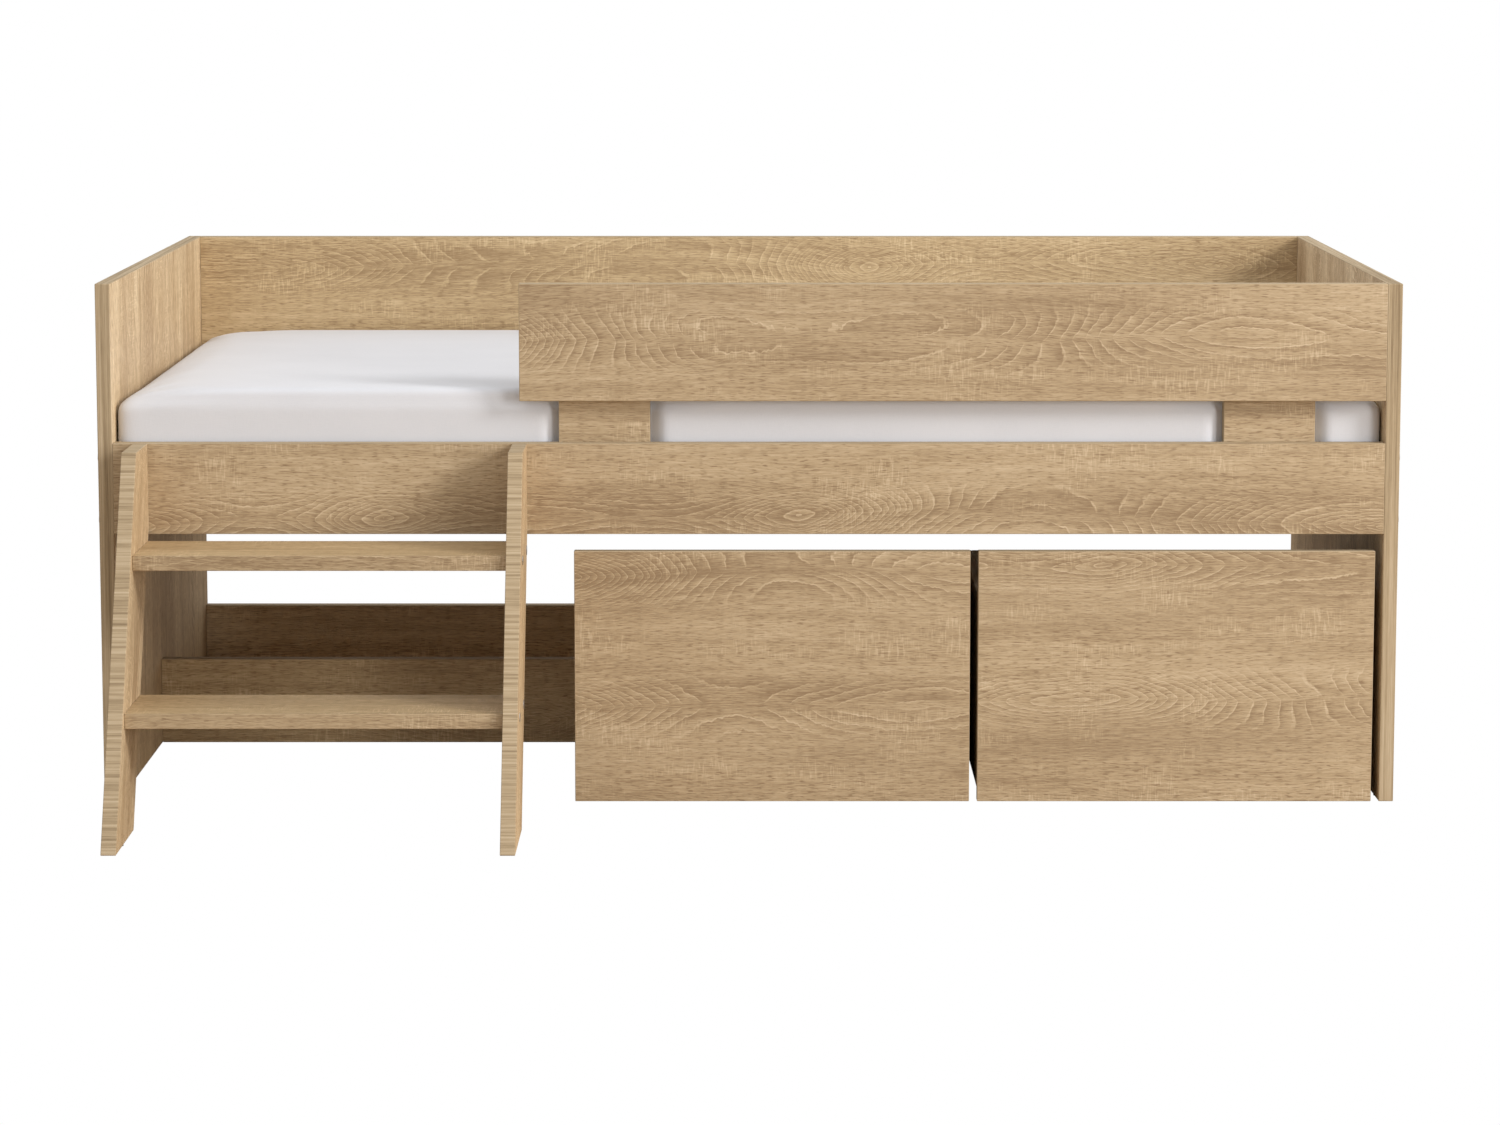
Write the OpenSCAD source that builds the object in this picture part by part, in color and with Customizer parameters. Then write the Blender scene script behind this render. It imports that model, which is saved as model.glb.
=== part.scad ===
// Low sleeper bed: a raised single bed between two full-height end panels, with a guard
// rail, a ladder of two treads at the entry gap, and two drawers that roll out on castors.
// Millimetres. X runs along the bed, +Y to its back and +Z up. The origin is on the floor
// in the middle of the footprint.

/* [Mattress] */
// Length of the mattress that the bed takes
mattress_l = 1900; // [1800:10:2000]
// Width of the mattress that the bed takes
mattress_w = 900; // [800:10:1000]
// Thickness of the mattress at its edge
mattress_t = 150; // [100:5:200]
// Rise of the mattress from its edge to its middle
mattress_crown = 10; // [4:1:20]
// Room that the boards leave round the mattress on each side
mattress_play = 8; // [6:1:15]
// Gap left between the mattress and the end panels
mattress_end_clear = 1; // [0.5:0.5:4]
// Gap left between the mattress and the boards along its sides
mattress_side_clear = 3; // [1:0.5:5]
// Corner radius of the mattress seen from above
mattress_corner_r = 60; // [40:5:60]
// Radius of the rolled top edge of the mattress
mattress_top_r = 34; // [20:1:45]
// Radius of the bottom edge of the mattress
mattress_bottom_r = 18; // [10:1:30]
// Length over which the mattress side curves into a dent
dent_ramp = 28; // [15:1:30]

/* [Boards] */
// Thickness of the frame boards
board_t = 22; // [18:1:28]
// Height of the glides that hold the boards off the floor
foot_h = 4; // [2:1:8]

/* [Rails] */
// Height of the side rail
rail_h = 138; // [120:1:180]
// Height of the gap between side rail and guard rail
guard_gap = 64; // [50:1:90]
// Height of the guard rail
guard_h = 177; // [150:1:220]
// Width of the entry gap between the left end panel and the guard rail
entry_w = 613; // [550:1:650]
// Width of the upright boards that hold the guard rail
support_w = 138; // [110:1:160]
// Distance from the open end of the guard rail to the left support
support_inset_left = 58; // [40:1:90]
// Distance from the right end panel to the right support
support_inset_right = 103; // [95:1:160]
// Distance from the top of the guard rail down to the supports
support_top_gap = 12; // [6:1:30]
// Height of the two stretchers near the floor
stretcher_h = 138; // [110:1:180]

/* [Slatted base] */
// Number of slats
slat_count = 12; // [10:1:12]
// Width of one slat
slat_w = 90; // [70:1:100]
// Thickness of one slat
slat_t = 18; // [14:1:22]
// Play at each end of a slat
slat_play = 0.5; // [0.3:0.1:2]
// Height of the ledges that carry the slats
ledge_h = 30; // [26:1:40]
// Depth of the ledges from the board that they are screwed to
ledge_t = 22; // [18:1:24]
// Distance from the lower edge of the side rail up to the ledge
ledge_lift = 4; // [0:1:10]
// Width of the tapes that keep the slats apart
tape_w = 25; // [15:1:40]
// Thickness of the tapes
tape_t = 1.2; // [0.8:0.1:2]
// Distance of each tape from the ends of the slats
tape_inset = 150; // [80:5:300]

/* [Ladder] */
// Gap between the left end panel and the ladder
ladder_gap = 31; // [20:1:60]
// Width of the ladder over its sides
ladder_w = 593; // [500:1:610]
// Distance that the ladder's foot stands out in front of the bed
ladder_reach = 349; // [320:1:400]
// Depth of the ladder's side at its top
ladder_top_d = 105; // [95:1:130]
// Depth of the ladder's side on the floor
ladder_foot_d = 160; // [150:1:180]
// Height from the rail's lower edge to where the ladder's back edge turns outwards
ladder_back_rise = 14; // [5:1:25]
// Depth of a tread
tread_d = 144; // [120:1:148]
// Distance of a tread behind the front edge of the ladder's sides
tread_inset = 11; // [5:1:20]
// Height of the lower tread's top above the feet
tread_low_h = 187; // [160:1:200]
// Rise from the lower tread to the upper one
tread_rise = 216; // [190:1:230]

/* [Drawers] */
// Width of a drawer
drawer_w = 599; // [560:1:604]
// Gap between the drawers, and between the right drawer and the end panel
drawer_gap = 12; // [6:1:16]
// Height of a drawer front
drawer_front_h = 385; // [350:1:420]
// Gap between the drawer fronts and the side rail
drawer_top_gap = 26; // [15:1:40]
// Thickness of a drawer front
drawer_front_t = 16; // [14:1:22]
// Thickness of a drawer's sides and back
drawer_side_t = 15; // [14:1:18]
// Height of a drawer's sides and back
drawer_side_h = 299; // [250:1:320]
// Distance from the lower edge of the front up to the sides
drawer_side_lift = 19; // [12:1:22]
// Depth of a drawer over its front and back
drawer_d = 430; // [380:1:460]
// Thickness of a drawer's base
drawer_base_t = 12; // [11:1:15]
// Gap between a closed drawer's back and the stretcher that stops it
drawer_stop_gap = 0.3; // [0.2:0.1:5]

/* [Castors] */
// Diameter of a wheel
wheel_d = 30; // [26:1:34]
// Width of a wheel
wheel_w = 14; // [10:1:18]
// Gap between a wheel and the castor's plate
wheel_top_gap = 3; // [2:0.5:5]
// Gap between a wheel and the castor's cheek on each side
wheel_side_gap = 0.5; // [0.3:0.1:1]
// Depth of the hollow in each side of a wheel
wheel_dish = 1.5; // [0.5:0.5:3]
// Diameter of an axle
axle_d = 4; // [3:0.5:5]
// Radial play of a wheel on its axle
axle_play = 0.05; // [0.02:0.01:0.1]
// Thickness of the castor's plate and cheeks
castor_t = 2.5; // [2:0.5:3]
// Length of the castor's plate along the drawer's travel
castor_plate_l = 50; // [48:1:60]
// Width of the castor's plate
castor_plate_w = 44; // [42:1:54]
// Distance of a castor's middle from the boards beside it
castor_inset = 45; // [38:1:80]

/* [Fasteners] */
// Diameter of a frame bolt
bolt_d = 6; // [5:0.5:7]
// Length of bolt past the board that it goes through
bolt_bite = 36; // [34:1:42]
// Diameter of a bolt's flat head
bolt_head_d = 14; // [11:0.5:16]
// Thickness of a bolt's flat head
bolt_head_h = 1; // [0.5:0.1:2]
// Width of the hexagon socket over its corners
bolt_socket_d = 4.6; // [3:0.1:4.8]
// Depth of the hexagon socket
bolt_socket_depth = 3; // [2:0.5:5]
// Radial play of a bolt in the boards
bolt_play = 0.5; // [0.2:0.1:1]
// Distance of the frame bolts from a rail's long edges
bolt_inset = 22; // [18:1:30]
// Distance of the back panel's bolts from its long edges
back_bolt_inset = 80; // [60:1:110]
// Distance of a tread's front bolt from its front edge
tread_bolt_front = 31; // [20:1:50]
// Distance of a tread's rear bolt from its back edge
tread_bolt_back = 18; // [15:1:40]
// Diameter of a barrel nut
nut_d = 10; // [9:0.5:12]
// Length of a barrel nut
nut_l = 14; // [10:1:15]
// Distance of a barrel nut from the end of its board
nut_set = 28; // [24:1:28]
// Diameter of a frame dowel
dowel_d = 8; // [6:1:10]
// Length of a frame dowel
dowel_l = 30; // [25:1:40]
// Diameter of a drawer dowel
drawer_dowel_d = 6; // [5:1:7]
// Length of a drawer dowel
drawer_dowel_l = 28; // [20:1:32]
// Diameter of a wood screw
screw_d = 4; // [3:0.5:5]
// Length of a wood screw
screw_l = 38; // [35:1:39]
// Diameter of a wood screw's head
screw_head_d = 8; // [7:0.5:9]
// Length of a castor screw
castor_screw_l = 11; // [8:0.5:12]
// Diameter of a castor screw
castor_screw_d = 3; // [2.5:0.5:3.5]
// Diameter of a castor screw's head
castor_screw_head_d = 6; // [5:0.5:7]
// Diameter of a floor glide
glide_d = 18; // [14:1:20]
// Length of the nail on a floor glide
glide_nail_l = 14; // [10:1:20]
// Diameter of the nail on a floor glide
glide_nail_d = 2.5; // [2:0.5:3]

/* [Hidden] */
$fn = 48;
// Radial clearance of a nut, dowel, screw or nail in its bore
fit = 0.05;
// Space left past the end of a fastener in a blind bore
bore_end = 1;
// Overshoot of a cutting tool past the face that it cuts
cut = 1;

// Heights from the floor
rail_z0 = foot_h + drawer_front_h + drawer_top_gap;
rail_z1 = rail_z0 + rail_h;
guard_z0 = rail_z1 + guard_gap;
top_z = guard_z0 + guard_h;
ledge_z0 = rail_z0 + ledge_lift;
slat_z0 = ledge_z0 + ledge_h;
mattress_z0 = slat_z0 + slat_t;
stretcher_z1 = foot_h + stretcher_h;

// Lengths along X: the frame is the same on both sides of X = 0
inner_l = mattress_l + 2 * mattress_play;
bed_l = inner_l + 2 * board_t;
guard_x0 = entry_w - inner_l / 2;
support_x0 = [guard_x0 + support_inset_left, inner_l / 2 - support_inset_right - support_w];

// Depths behind the front face of the bed, which lies at Y = front_y
inner_w = mattress_w + 2 * mattress_play;
bed_w = inner_w + 2 * board_t;
back_y0 = bed_w - board_t;
stop_y0 = drawer_d + drawer_stop_gap;
front_y = (ladder_reach - bed_w) / 2;

// Ladder
ladder_x0 = ladder_gap - inner_l / 2;
ladder_x1 = ladder_x0 + ladder_w;
ladder_side_h = rail_z1 - foot_h;
ladder_slope = (ladder_reach - ladder_top_d) / ladder_side_h;
tread_top = [foot_h + tread_low_h, foot_h + tread_low_h + tread_rise];
ladder_side_screws = 3;
ladder_screw_inset = 20;

// Drawers
drawer_x0 = [
    for (i = [0, 1]) inner_l / 2 - (2 - i) * (drawer_w + drawer_gap)
];
drawer_side_z0 = foot_h + drawer_side_lift;
drawer_base_z0 = wheel_d + wheel_top_gap + castor_t;
drawer_back_y0 = drawer_d - drawer_side_t;
castor_y = [drawer_front_t + castor_inset, drawer_back_y0 - castor_inset];
drawer_dowel_in_face = 9;
drawer_dowel_inset = 40;
drawer_dowel_rows = 3;

// Castor, about its wheel's axis
castor_half_w = wheel_w / 2 + wheel_side_gap + castor_t;
castor_plate_z = drawer_base_z0 - castor_t - wheel_d / 2;
castor_eye_wall = 4;
castor_cheek_r = axle_d / 2 + castor_eye_wall;
castor_hole_inset = 6;
axle_head_rim = 1.5;
axle_head_d = axle_d + 2 * axle_head_rim;
axle_head_h = 1;
wheel_hub_wall = 3.5;
wheel_hub_r = axle_d / 2 + wheel_hub_wall;
wheel_rim = 3;
wheel_edge_r = 1.5;

// Screws that hold supports and ledges
support_screw_inset = 34;
support_rail_inset = 22;
support_guard_inset = 40;
ledge_screws = 7;
ledge_screw_inset = 60;
screw_tip = 5;
screw_rim = 0.6;
recess_w = 1;
recess_depth = 2;
castor_screw_tip = 2;
castor_screw_rim = 0.4;

// Glides: distance of the panels' glides from the front and back edges
glide_inset = 60;
dowel_in_face = 12;

oak = "#c6a97f";
oak_dark = "#a98a62";
pine = "#e3c48f";
beech = "#d8b27c";
steel = "#b9bcc0";
black = "#2c2c2e";
white = "#f1eff0";
grey = "#8d8f92";

// A joint between a long board and the end panels: depth of the board's middle, heights
// of its bolts, heights of its dowels, and the side that its nut bores open to
function pair(z0, z1, inset) = [z0 + inset, z1 - inset];
function middle(z0, z1) = (z0 + z1) / 2;
rail_joint = [
    board_t / 2, pair(rail_z0, rail_z1, bolt_inset), [middle(rail_z0, rail_z1)], 1
];
back_joint = [
    bed_w - board_t / 2,
    pair(rail_z0, top_z, back_bolt_inset),
    [middle(rail_z0, top_z) - back_bolt_inset / 2, middle(rail_z0, top_z) + back_bolt_inset / 2],
    -1
];
rear_joint = [
    bed_w - board_t / 2, pair(foot_h, stretcher_z1, bolt_inset), [middle(foot_h, stretcher_z1)], -1
];
stop_joint = [
    stop_y0 + board_t / 2, pair(foot_h, stretcher_z1, bolt_inset), [middle(foot_h, stretcher_z1)], 1
];
guard_joint = [board_t / 2, [], pair(guard_z0, top_z, support_guard_inset), 1];
frame_joints = [rail_joint, back_joint, rear_joint, stop_joint];

SLATS = [for (i = [1 : slat_count]) str("slat_", i)];
DRAWERS = ["left_drawer", "right_drawer"];
WHEELS = ["front_left", "front_right", "rear_left", "rear_right"];
DRAWER_BOARDS = ["front", "side_left", "side_right", "back", "base"];
DRAWER_FITTINGS = ["castor_frames", "castor_axles", "castor_screws", "dowels"];

// Helpers

// Moves what is drawn at its depth behind the front face to its place
module in_bed() translate([0, front_y, 0]) children();

// A board between two corners
module board(low, high) translate(low) cube(high - low);

// What is drawn at the right end, drawn at both ends
module both_ends() {
    children();
    mirror([1, 0, 0]) children();
}

// Places a fastener's head on the right end panel, pointing into the bed
module at_bolts(joint)
    for (z = joint[1])
        translate([bed_l / 2, joint[0], z]) rotate([0, -90, 0]) children();

// Places a barrel nut in the right end of a long board
module at_nuts(joint)
    for (z = joint[1])
        translate([inner_l / 2 - nut_set, joint[0], z])
            rotate([-90 * joint[3], 0, 0]) children();

// Places a dowel on the right end of a long board
module at_dowels(joint)
    for (z = joint[2])
        translate([inner_l / 2, joint[0], z]) rotate([0, -90, 0]) children();

// Places a bolt on the outer face of the ladder's right side, level with a tread
function tread_front(top) = -ladder_reach + (top - foot_h) * ladder_slope + tread_inset;
function tread_bolt_y(top) = [
    tread_front(top) + tread_bolt_front,
    tread_front(top) + tread_d - tread_bolt_back
];
module at_tread_bolts(top)
    for (y = tread_bolt_y(top))
        translate([ladder_x1, y, top - board_t / 2]) rotate([0, -90, 0]) children();

// Places a barrel nut in the right end of a tread, with its bore open below
module at_tread_nuts(top)
    for (y = tread_bolt_y(top))
        translate([ladder_x1 - board_t - nut_set, y, top - board_t / 2])
            rotate([180, 0, 0]) children();

// What is drawn at the ladder's right side, drawn at both sides
module both_ladder_sides() {
    children();
    translate([ladder_x0 + ladder_x1, 0, 0]) mirror([1, 0, 0]) children();
}

// Fasteners, each along +Z from the face that it is set in

module bolt()
    difference() {
        union() {
            translate([0, 0, -bolt_head_h]) cylinder(d = bolt_head_d, h = bolt_head_h);
            cylinder(d = bolt_d, h = board_t + bolt_bite);
        }
        translate([0, 0, -bolt_head_h - cut])
            cylinder(d = bolt_socket_d, h = cut + bolt_head_h + bolt_socket_depth, $fn = 6);
    }

module bolt_bore()
    translate([0, 0, -cut])
        cylinder(d = bolt_d + 2 * bolt_play, h = cut + board_t + bolt_bite + bore_end);

module nut()
    difference() {
        cylinder(d = nut_d, h = nut_l, center = true);
        rotate([0, 90, 0]) cylinder(d = bolt_d + 2 * fit, h = nut_d + 2 * cut, center = true);
    }

module nut_bore()
    translate([0, 0, -nut_l / 2])
        cylinder(d = nut_d + 2 * fit, h = nut_l / 2 + board_t / 2 + cut);

module dowel(d, l, sunk) translate([0, 0, -sunk]) cylinder(d = d, h = l);

module dowel_bore(d, l, sunk)
    translate([0, 0, -sunk - bore_end]) cylinder(d = d + 2 * fit, h = l + 2 * bore_end);

module frame_dowel() dowel(dowel_d, dowel_l, dowel_in_face);

module frame_dowel_bore() dowel_bore(dowel_d, dowel_l, dowel_in_face);

// Half section of a countersunk screw, from its head's face at z = start, grown by g
function screw_section(r, head_r, l, rim, tip, start, g) = [
    [0, start],
    [head_r + g, start],
    [head_r + g, rim],
    [r + g, rim + head_r - r],
    [r + g, l - tip],
    [0, l + g]
];

module cross_recess()
    for (turn = [0, 90])
        rotate([0, 0, turn])
            translate([-screw_d / 2, -recess_w / 2, -cut])
                cube([screw_d, recess_w, cut + recess_depth]);

module wood_screw()
    difference() {
        rotate_extrude()
            polygon(screw_section(
                screw_d / 2, screw_head_d / 2, screw_l, screw_rim, screw_tip, 0, 0
            ));
        cross_recess();
    }

module wood_screw_bore()
    rotate_extrude()
        polygon(screw_section(
            screw_d / 2, screw_head_d / 2, screw_l, screw_rim, screw_tip, -cut, fit
        ));

module castor_screw_solid(start, g)
    rotate_extrude()
        polygon(screw_section(
            castor_screw_d / 2, castor_screw_head_d / 2, castor_screw_l,
            castor_screw_rim, castor_screw_tip, start, g
        ));

// Frame boards

module end_panel(side)
    color(oak)
        in_bed()
            difference() {
                board(
                    [side > 0 ? inner_l / 2 : -bed_l / 2, 0, foot_h],
                    [side > 0 ? bed_l / 2 : -inner_l / 2, bed_w, top_z]
                );
                mirror([side > 0 ? 0 : 1, 0, 0]) {
                    for (joint = frame_joints) {
                        at_bolts(joint) bolt_bore();
                        at_dowels(joint) frame_dowel_bore();
                    }
                    if (side > 0) at_dowels(guard_joint) frame_dowel_bore();
                    for (y = [glide_inset, bed_w - glide_inset])
                        translate([middle(inner_l, bed_l) / 2, y, foot_h]) glide_bore();
                }
            }

// A long board with the bores for the bolts, nuts and dowels at both of its ends
module long_board(low, high, joint)
    difference() {
        board(low, high);
        both_ends() {
            at_bolts(joint) bolt_bore();
            at_nuts(joint) nut_bore();
            at_dowels(joint) frame_dowel_bore();
        }
    }

module side_rail()
    color(oak)
        in_bed()
            difference() {
                long_board(
                    [-inner_l / 2, 0, rail_z0], [inner_l / 2, board_t, rail_z1], rail_joint
                );
                at_support_screws() wood_screw_bore();
                at_front_ledge_screws() wood_screw_bore();
                at_ladder_screws() wood_screw_bore();
            }

module guard_rail()
    color(oak)
        in_bed()
            difference() {
                board([guard_x0, 0, guard_z0], [inner_l / 2, board_t, top_z]);
                at_dowels(guard_joint) frame_dowel_bore();
                at_support_screws() wood_screw_bore();
            }

module guard_support(x0)
    color(oak_dark)
        in_bed()
            difference() {
                board(
                    [x0, board_t, mattress_z0],
                    [x0 + support_w, 2 * board_t, top_z - support_top_gap]
                );
                at_support_screws() wood_screw_bore();
            }

module back_panel()
    color(oak)
        in_bed()
            difference() {
                long_board(
                    [-inner_l / 2, back_y0, rail_z0], [inner_l / 2, bed_w, top_z], back_joint
                );
                at_rear_ledge_screws() wood_screw_bore();
            }

module rear_stretcher()
    color(oak)
        in_bed()
            long_board(
                [-inner_l / 2, back_y0, foot_h], [inner_l / 2, bed_w, stretcher_z1], rear_joint
            );

module drawer_stop_stretcher()
    color(oak)
        in_bed()
            long_board(
                [-inner_l / 2, stop_y0, foot_h],
                [inner_l / 2, stop_y0 + board_t, stretcher_z1],
                stop_joint
            );

// Slatted base

module front_ledge()
    color(pine)
        in_bed()
            difference() {
                board(
                    [-inner_l / 2, board_t, ledge_z0],
                    [inner_l / 2, board_t + ledge_t, ledge_z0 + ledge_h]
                );
                at_front_ledge_screws() wood_screw_bore();
            }

module rear_ledge()
    color(pine)
        in_bed()
            difference() {
                board(
                    [-inner_l / 2, back_y0 - ledge_t, ledge_z0],
                    [inner_l / 2, back_y0, ledge_z0 + ledge_h]
                );
                at_rear_ledge_screws() wood_screw_bore();
            }

slat_pitch = (mattress_l - slat_w) / (slat_count - 1);
function slat_x(i) = -mattress_l / 2 + slat_w / 2 + (i - 1) * slat_pitch;

module slat(i)
    color(pine)
        in_bed()
            board(
                [slat_x(i) - slat_w / 2, board_t + slat_play, slat_z0],
                [slat_x(i) + slat_w / 2, back_y0 - slat_play, slat_z0 + slat_t]
            );

module slat_tapes()
    color(grey)
        in_bed()
            for (y = [board_t + tape_inset, back_y0 - tape_inset])
                board(
                    [slat_x(1), y - tape_w / 2, slat_z0 - tape_t],
                    [slat_x(slat_count), y + tape_w / 2, slat_z0]
                );

// Mattress: rings of points round one outline, stacked from the slats to the crown

mattress_x1 = inner_l / 2 - mattress_end_clear;
mattress_y0 = board_t + mattress_side_clear;
mattress_y1 = back_y0 - mattress_side_clear;
mattress_mid_y = middle(mattress_y0, mattress_y1);
mattress_half_w = (mattress_y1 - mattress_y0) / 2;
// The face of a support, with the clearance of a soft piece, is where a dent ends
dent_clear = 0.4;
dent_depth = 2 * board_t + dent_clear - mattress_y0;
dent_margin = 2;
corner_steps = 5;
ramp_steps = 4;
edge_steps = 4;
crown_steps = 3;
crown_inset = 260;

// Rises smoothly from 0 to 1 as t goes from 0 to 1
function ease(t) = t <= 0 ? 0 : t >= 1 ? 1 : t * t * (3 - 2 * t);
// 1 behind the support that starts at x0, and 0 away from it
function dent(x, x0) =
    ease((x - (x0 - dent_margin - dent_ramp)) / dent_ramp)
    * ease((x0 + support_w + dent_margin + dent_ramp - x) / dent_ramp);
function mattress_front(x) =
    mattress_y0 + dent_depth * (dent(x, support_x0[0]) + dent(x, support_x0[1]));
function ramp(from, to, steps) = [for (k = [0 : steps]) from + (to - from) * k / steps];
// The stations of one dent, from the start of its first ramp to the end of its second
function dent_stations(x0) = concat(
    ramp(x0 - dent_margin - dent_ramp, x0 - dent_margin, ramp_steps),
    ramp(x0 + support_w + dent_margin, x0 + support_w + dent_margin + dent_ramp, ramp_steps)
);
function corner(x, y, start) = [
    for (k = [0 : corner_steps])
        let (a = start + 90 * k / corner_steps)
            [x + mattress_corner_r * cos(a), y + mattress_corner_r * sin(a)]
];
corner_x = mattress_x1 - mattress_corner_r;
mattress_outline = concat(
    corner(-corner_x, mattress_y0 + mattress_corner_r, 180),
    [for (x = concat(dent_stations(support_x0[0]), dent_stations(support_x0[1])))
        [x, mattress_front(x)]],
    corner(corner_x, mattress_y0 + mattress_corner_r, 270),
    corner(corner_x, mattress_y1 - mattress_corner_r, 0),
    corner(-corner_x, mattress_y1 - mattress_corner_r, 90)
);
outline_n = len(mattress_outline);
// Moves a point of the outline towards the mattress's middle line by an inset
function core_point(p) = [
    min(max(p[0], mattress_half_w - mattress_x1), mattress_x1 - mattress_half_w), mattress_mid_y
];
function drawn_in(p, inset) = p + (core_point(p) - p) * inset / mattress_half_w;
// The rings from bottom to top, each with its inset and its height above the slats
mattress_rings = concat(
    [for (k = [0 : edge_steps])
        let (a = 90 * k / edge_steps)
            [mattress_bottom_r * (1 - sin(a)), mattress_bottom_r * (1 - cos(a))]],
    [for (k = [0 : edge_steps])
        let (a = 90 * k / edge_steps)
            [mattress_top_r * (1 - cos(a)), mattress_t - mattress_top_r * (1 - sin(a))]],
    [for (k = [1 : crown_steps])
        let (t = k / crown_steps)
            [mattress_top_r + (crown_inset - mattress_top_r) * t,
                mattress_t + mattress_crown * sin(90 * t)]]
);
ring_n = len(mattress_rings);
mattress_points = [
    for (ring = mattress_rings, p = mattress_outline)
        let (q = drawn_in(p, ring[0])) [q[0], q[1], mattress_z0 + ring[1]]
];
function ring_point(ring, i) = ring * outline_n + i % outline_n;
mattress_faces = concat(
    [[for (i = [0 : outline_n - 1]) i]],
    [for (ring = [0 : ring_n - 2], i = [0 : outline_n - 1], half = [0, 1])
        half == 0
            ? [ring_point(ring, i), ring_point(ring + 1, i), ring_point(ring + 1, i + 1)]
            : [ring_point(ring, i), ring_point(ring + 1, i + 1), ring_point(ring, i + 1)]],
    [[for (i = [0 : outline_n - 1]) ring_n * outline_n - 1 - i]]
);

module mattress()
    color(white) in_bed() polyhedron(points = mattress_points, faces = mattress_faces);

// Ladder

module ladder_outline()
    polygon([
        [0, rail_z1],
        [-ladder_top_d, rail_z1],
        [-ladder_reach, foot_h],
        [ladder_foot_d - ladder_reach, foot_h],
        [0, rail_z0 + ladder_back_rise]
    ]);

module ladder_side(x0)
    color(oak)
        in_bed()
            difference() {
                translate([x0, 0, 0])
                    rotate([90, 0, 90]) linear_extrude(board_t) ladder_outline();
                both_ladder_sides()
                    for (top = tread_top) at_tread_bolts(top) bolt_bore();
                at_ladder_screws() wood_screw_bore();
                translate([x0 + board_t / 2, ladder_foot_d / 2 - ladder_reach, foot_h])
                    glide_bore();
            }

module tread(top)
    color(oak)
        in_bed()
            difference() {
                board(
                    [ladder_x0 + board_t, tread_front(top), top - board_t],
                    [ladder_x1 - board_t, tread_front(top) + tread_d, top]
                );
                both_ladder_sides() {
                    at_tread_bolts(top) bolt_bore();
                    at_tread_nuts(top) nut_bore();
                }
            }

// Places of the wood screws, each from its head's face

// From the supports' backs into the rail and the guard rail
module at_support_screws()
    for (
        x0 = support_x0,
        x = pair(x0, x0 + support_w, support_screw_inset),
        z = concat(
            pair(mattress_z0, rail_z1, support_rail_inset),
            pair(guard_z0, top_z - support_top_gap, support_guard_inset)
        )
    )
        translate([x, 2 * board_t, z]) rotate([90, 0, 0]) children();

function ledge_screw_x() =
    ramp(ledge_screw_inset - inner_l / 2, inner_l / 2 - ledge_screw_inset, ledge_screws - 1);

module at_front_ledge_screws()
    for (x = ledge_screw_x())
        translate([x, board_t + ledge_t, ledge_z0 + ledge_h / 2]) rotate([90, 0, 0]) children();

module at_rear_ledge_screws()
    for (x = ledge_screw_x())
        translate([x, back_y0 - ledge_t, ledge_z0 + ledge_h / 2]) rotate([-90, 0, 0]) children();

// From the rail's back into the back edges of the ladder's sides
module at_ladder_screws()
    for (
        x = [ladder_x0 + board_t / 2, ladder_x1 - board_t / 2],
        z = ramp(slat_z0 + ladder_screw_inset, rail_z1 - ladder_screw_inset,
            ladder_side_screws - 1)
    )
        translate([x, board_t, z]) rotate([90, 0, 0]) children();

// Fasteners of the frame

module frame_bolts()
    color(steel)
        in_bed() {
            both_ends() for (joint = frame_joints) at_bolts(joint) bolt();
            both_ladder_sides() for (top = tread_top) at_tread_bolts(top) bolt();
        }

module barrel_nuts()
    color(steel)
        in_bed() {
            both_ends() for (joint = frame_joints) at_nuts(joint) nut();
            both_ladder_sides() for (top = tread_top) at_tread_nuts(top) nut();
        }

module frame_dowels()
    color(beech)
        in_bed() {
            both_ends() for (joint = frame_joints) at_dowels(joint) frame_dowel();
            at_dowels(guard_joint) frame_dowel();
        }

module wood_screws()
    color(steel)
        in_bed() {
            at_support_screws() wood_screw();
            at_front_ledge_screws() wood_screw();
            at_rear_ledge_screws() wood_screw();
            at_ladder_screws() wood_screw();
        }

// A glide stands on the floor, with its nail up in the board
module glide()
    union() {
        translate([0, 0, -foot_h]) cylinder(d = glide_d, h = foot_h);
        cylinder(d = glide_nail_d, h = glide_nail_l);
    }

module glide_bore()
    translate([0, 0, -cut])
        cylinder(d = glide_nail_d + 2 * fit, h = cut + glide_nail_l + bore_end);

module floor_glides()
    color(black)
        in_bed() {
            both_ends()
                for (y = [glide_inset, bed_w - glide_inset])
                    translate([middle(inner_l, bed_l) / 2, y, foot_h]) glide();
            for (x = [ladder_x0 + board_t / 2, ladder_x1 - board_t / 2])
                translate([x, ladder_foot_d / 2 - ladder_reach, foot_h]) glide();
        }

// Drawers, each drawn from its left end at x = 0

module in_drawer(i) in_bed() translate([drawer_x0[i], 0, 0]) children();

drawer_side_z1 = drawer_side_z0 + drawer_side_h;

// What is drawn at a drawer's left side, drawn at both sides
module both_drawer_sides() {
    children();
    translate([drawer_w, 0, 0]) mirror([1, 0, 0]) children();
}

// Dowels from the left side's front end into the front
module at_front_dowels()
    for (z = ramp(drawer_side_z0 + drawer_dowel_inset, drawer_side_z1 - drawer_dowel_inset,
        drawer_dowel_rows - 1))
        translate([drawer_side_t / 2, drawer_front_t, z]) rotate([-90, 0, 0]) children();

// Dowels from the left side into the back's end
module at_back_dowels()
    for (z = ramp(drawer_side_z0 + drawer_dowel_inset, drawer_side_z1 - drawer_dowel_inset,
        drawer_dowel_rows - 1))
        translate([drawer_side_t, drawer_d - drawer_side_t / 2, z])
            rotate([0, 90, 0]) children();

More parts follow.
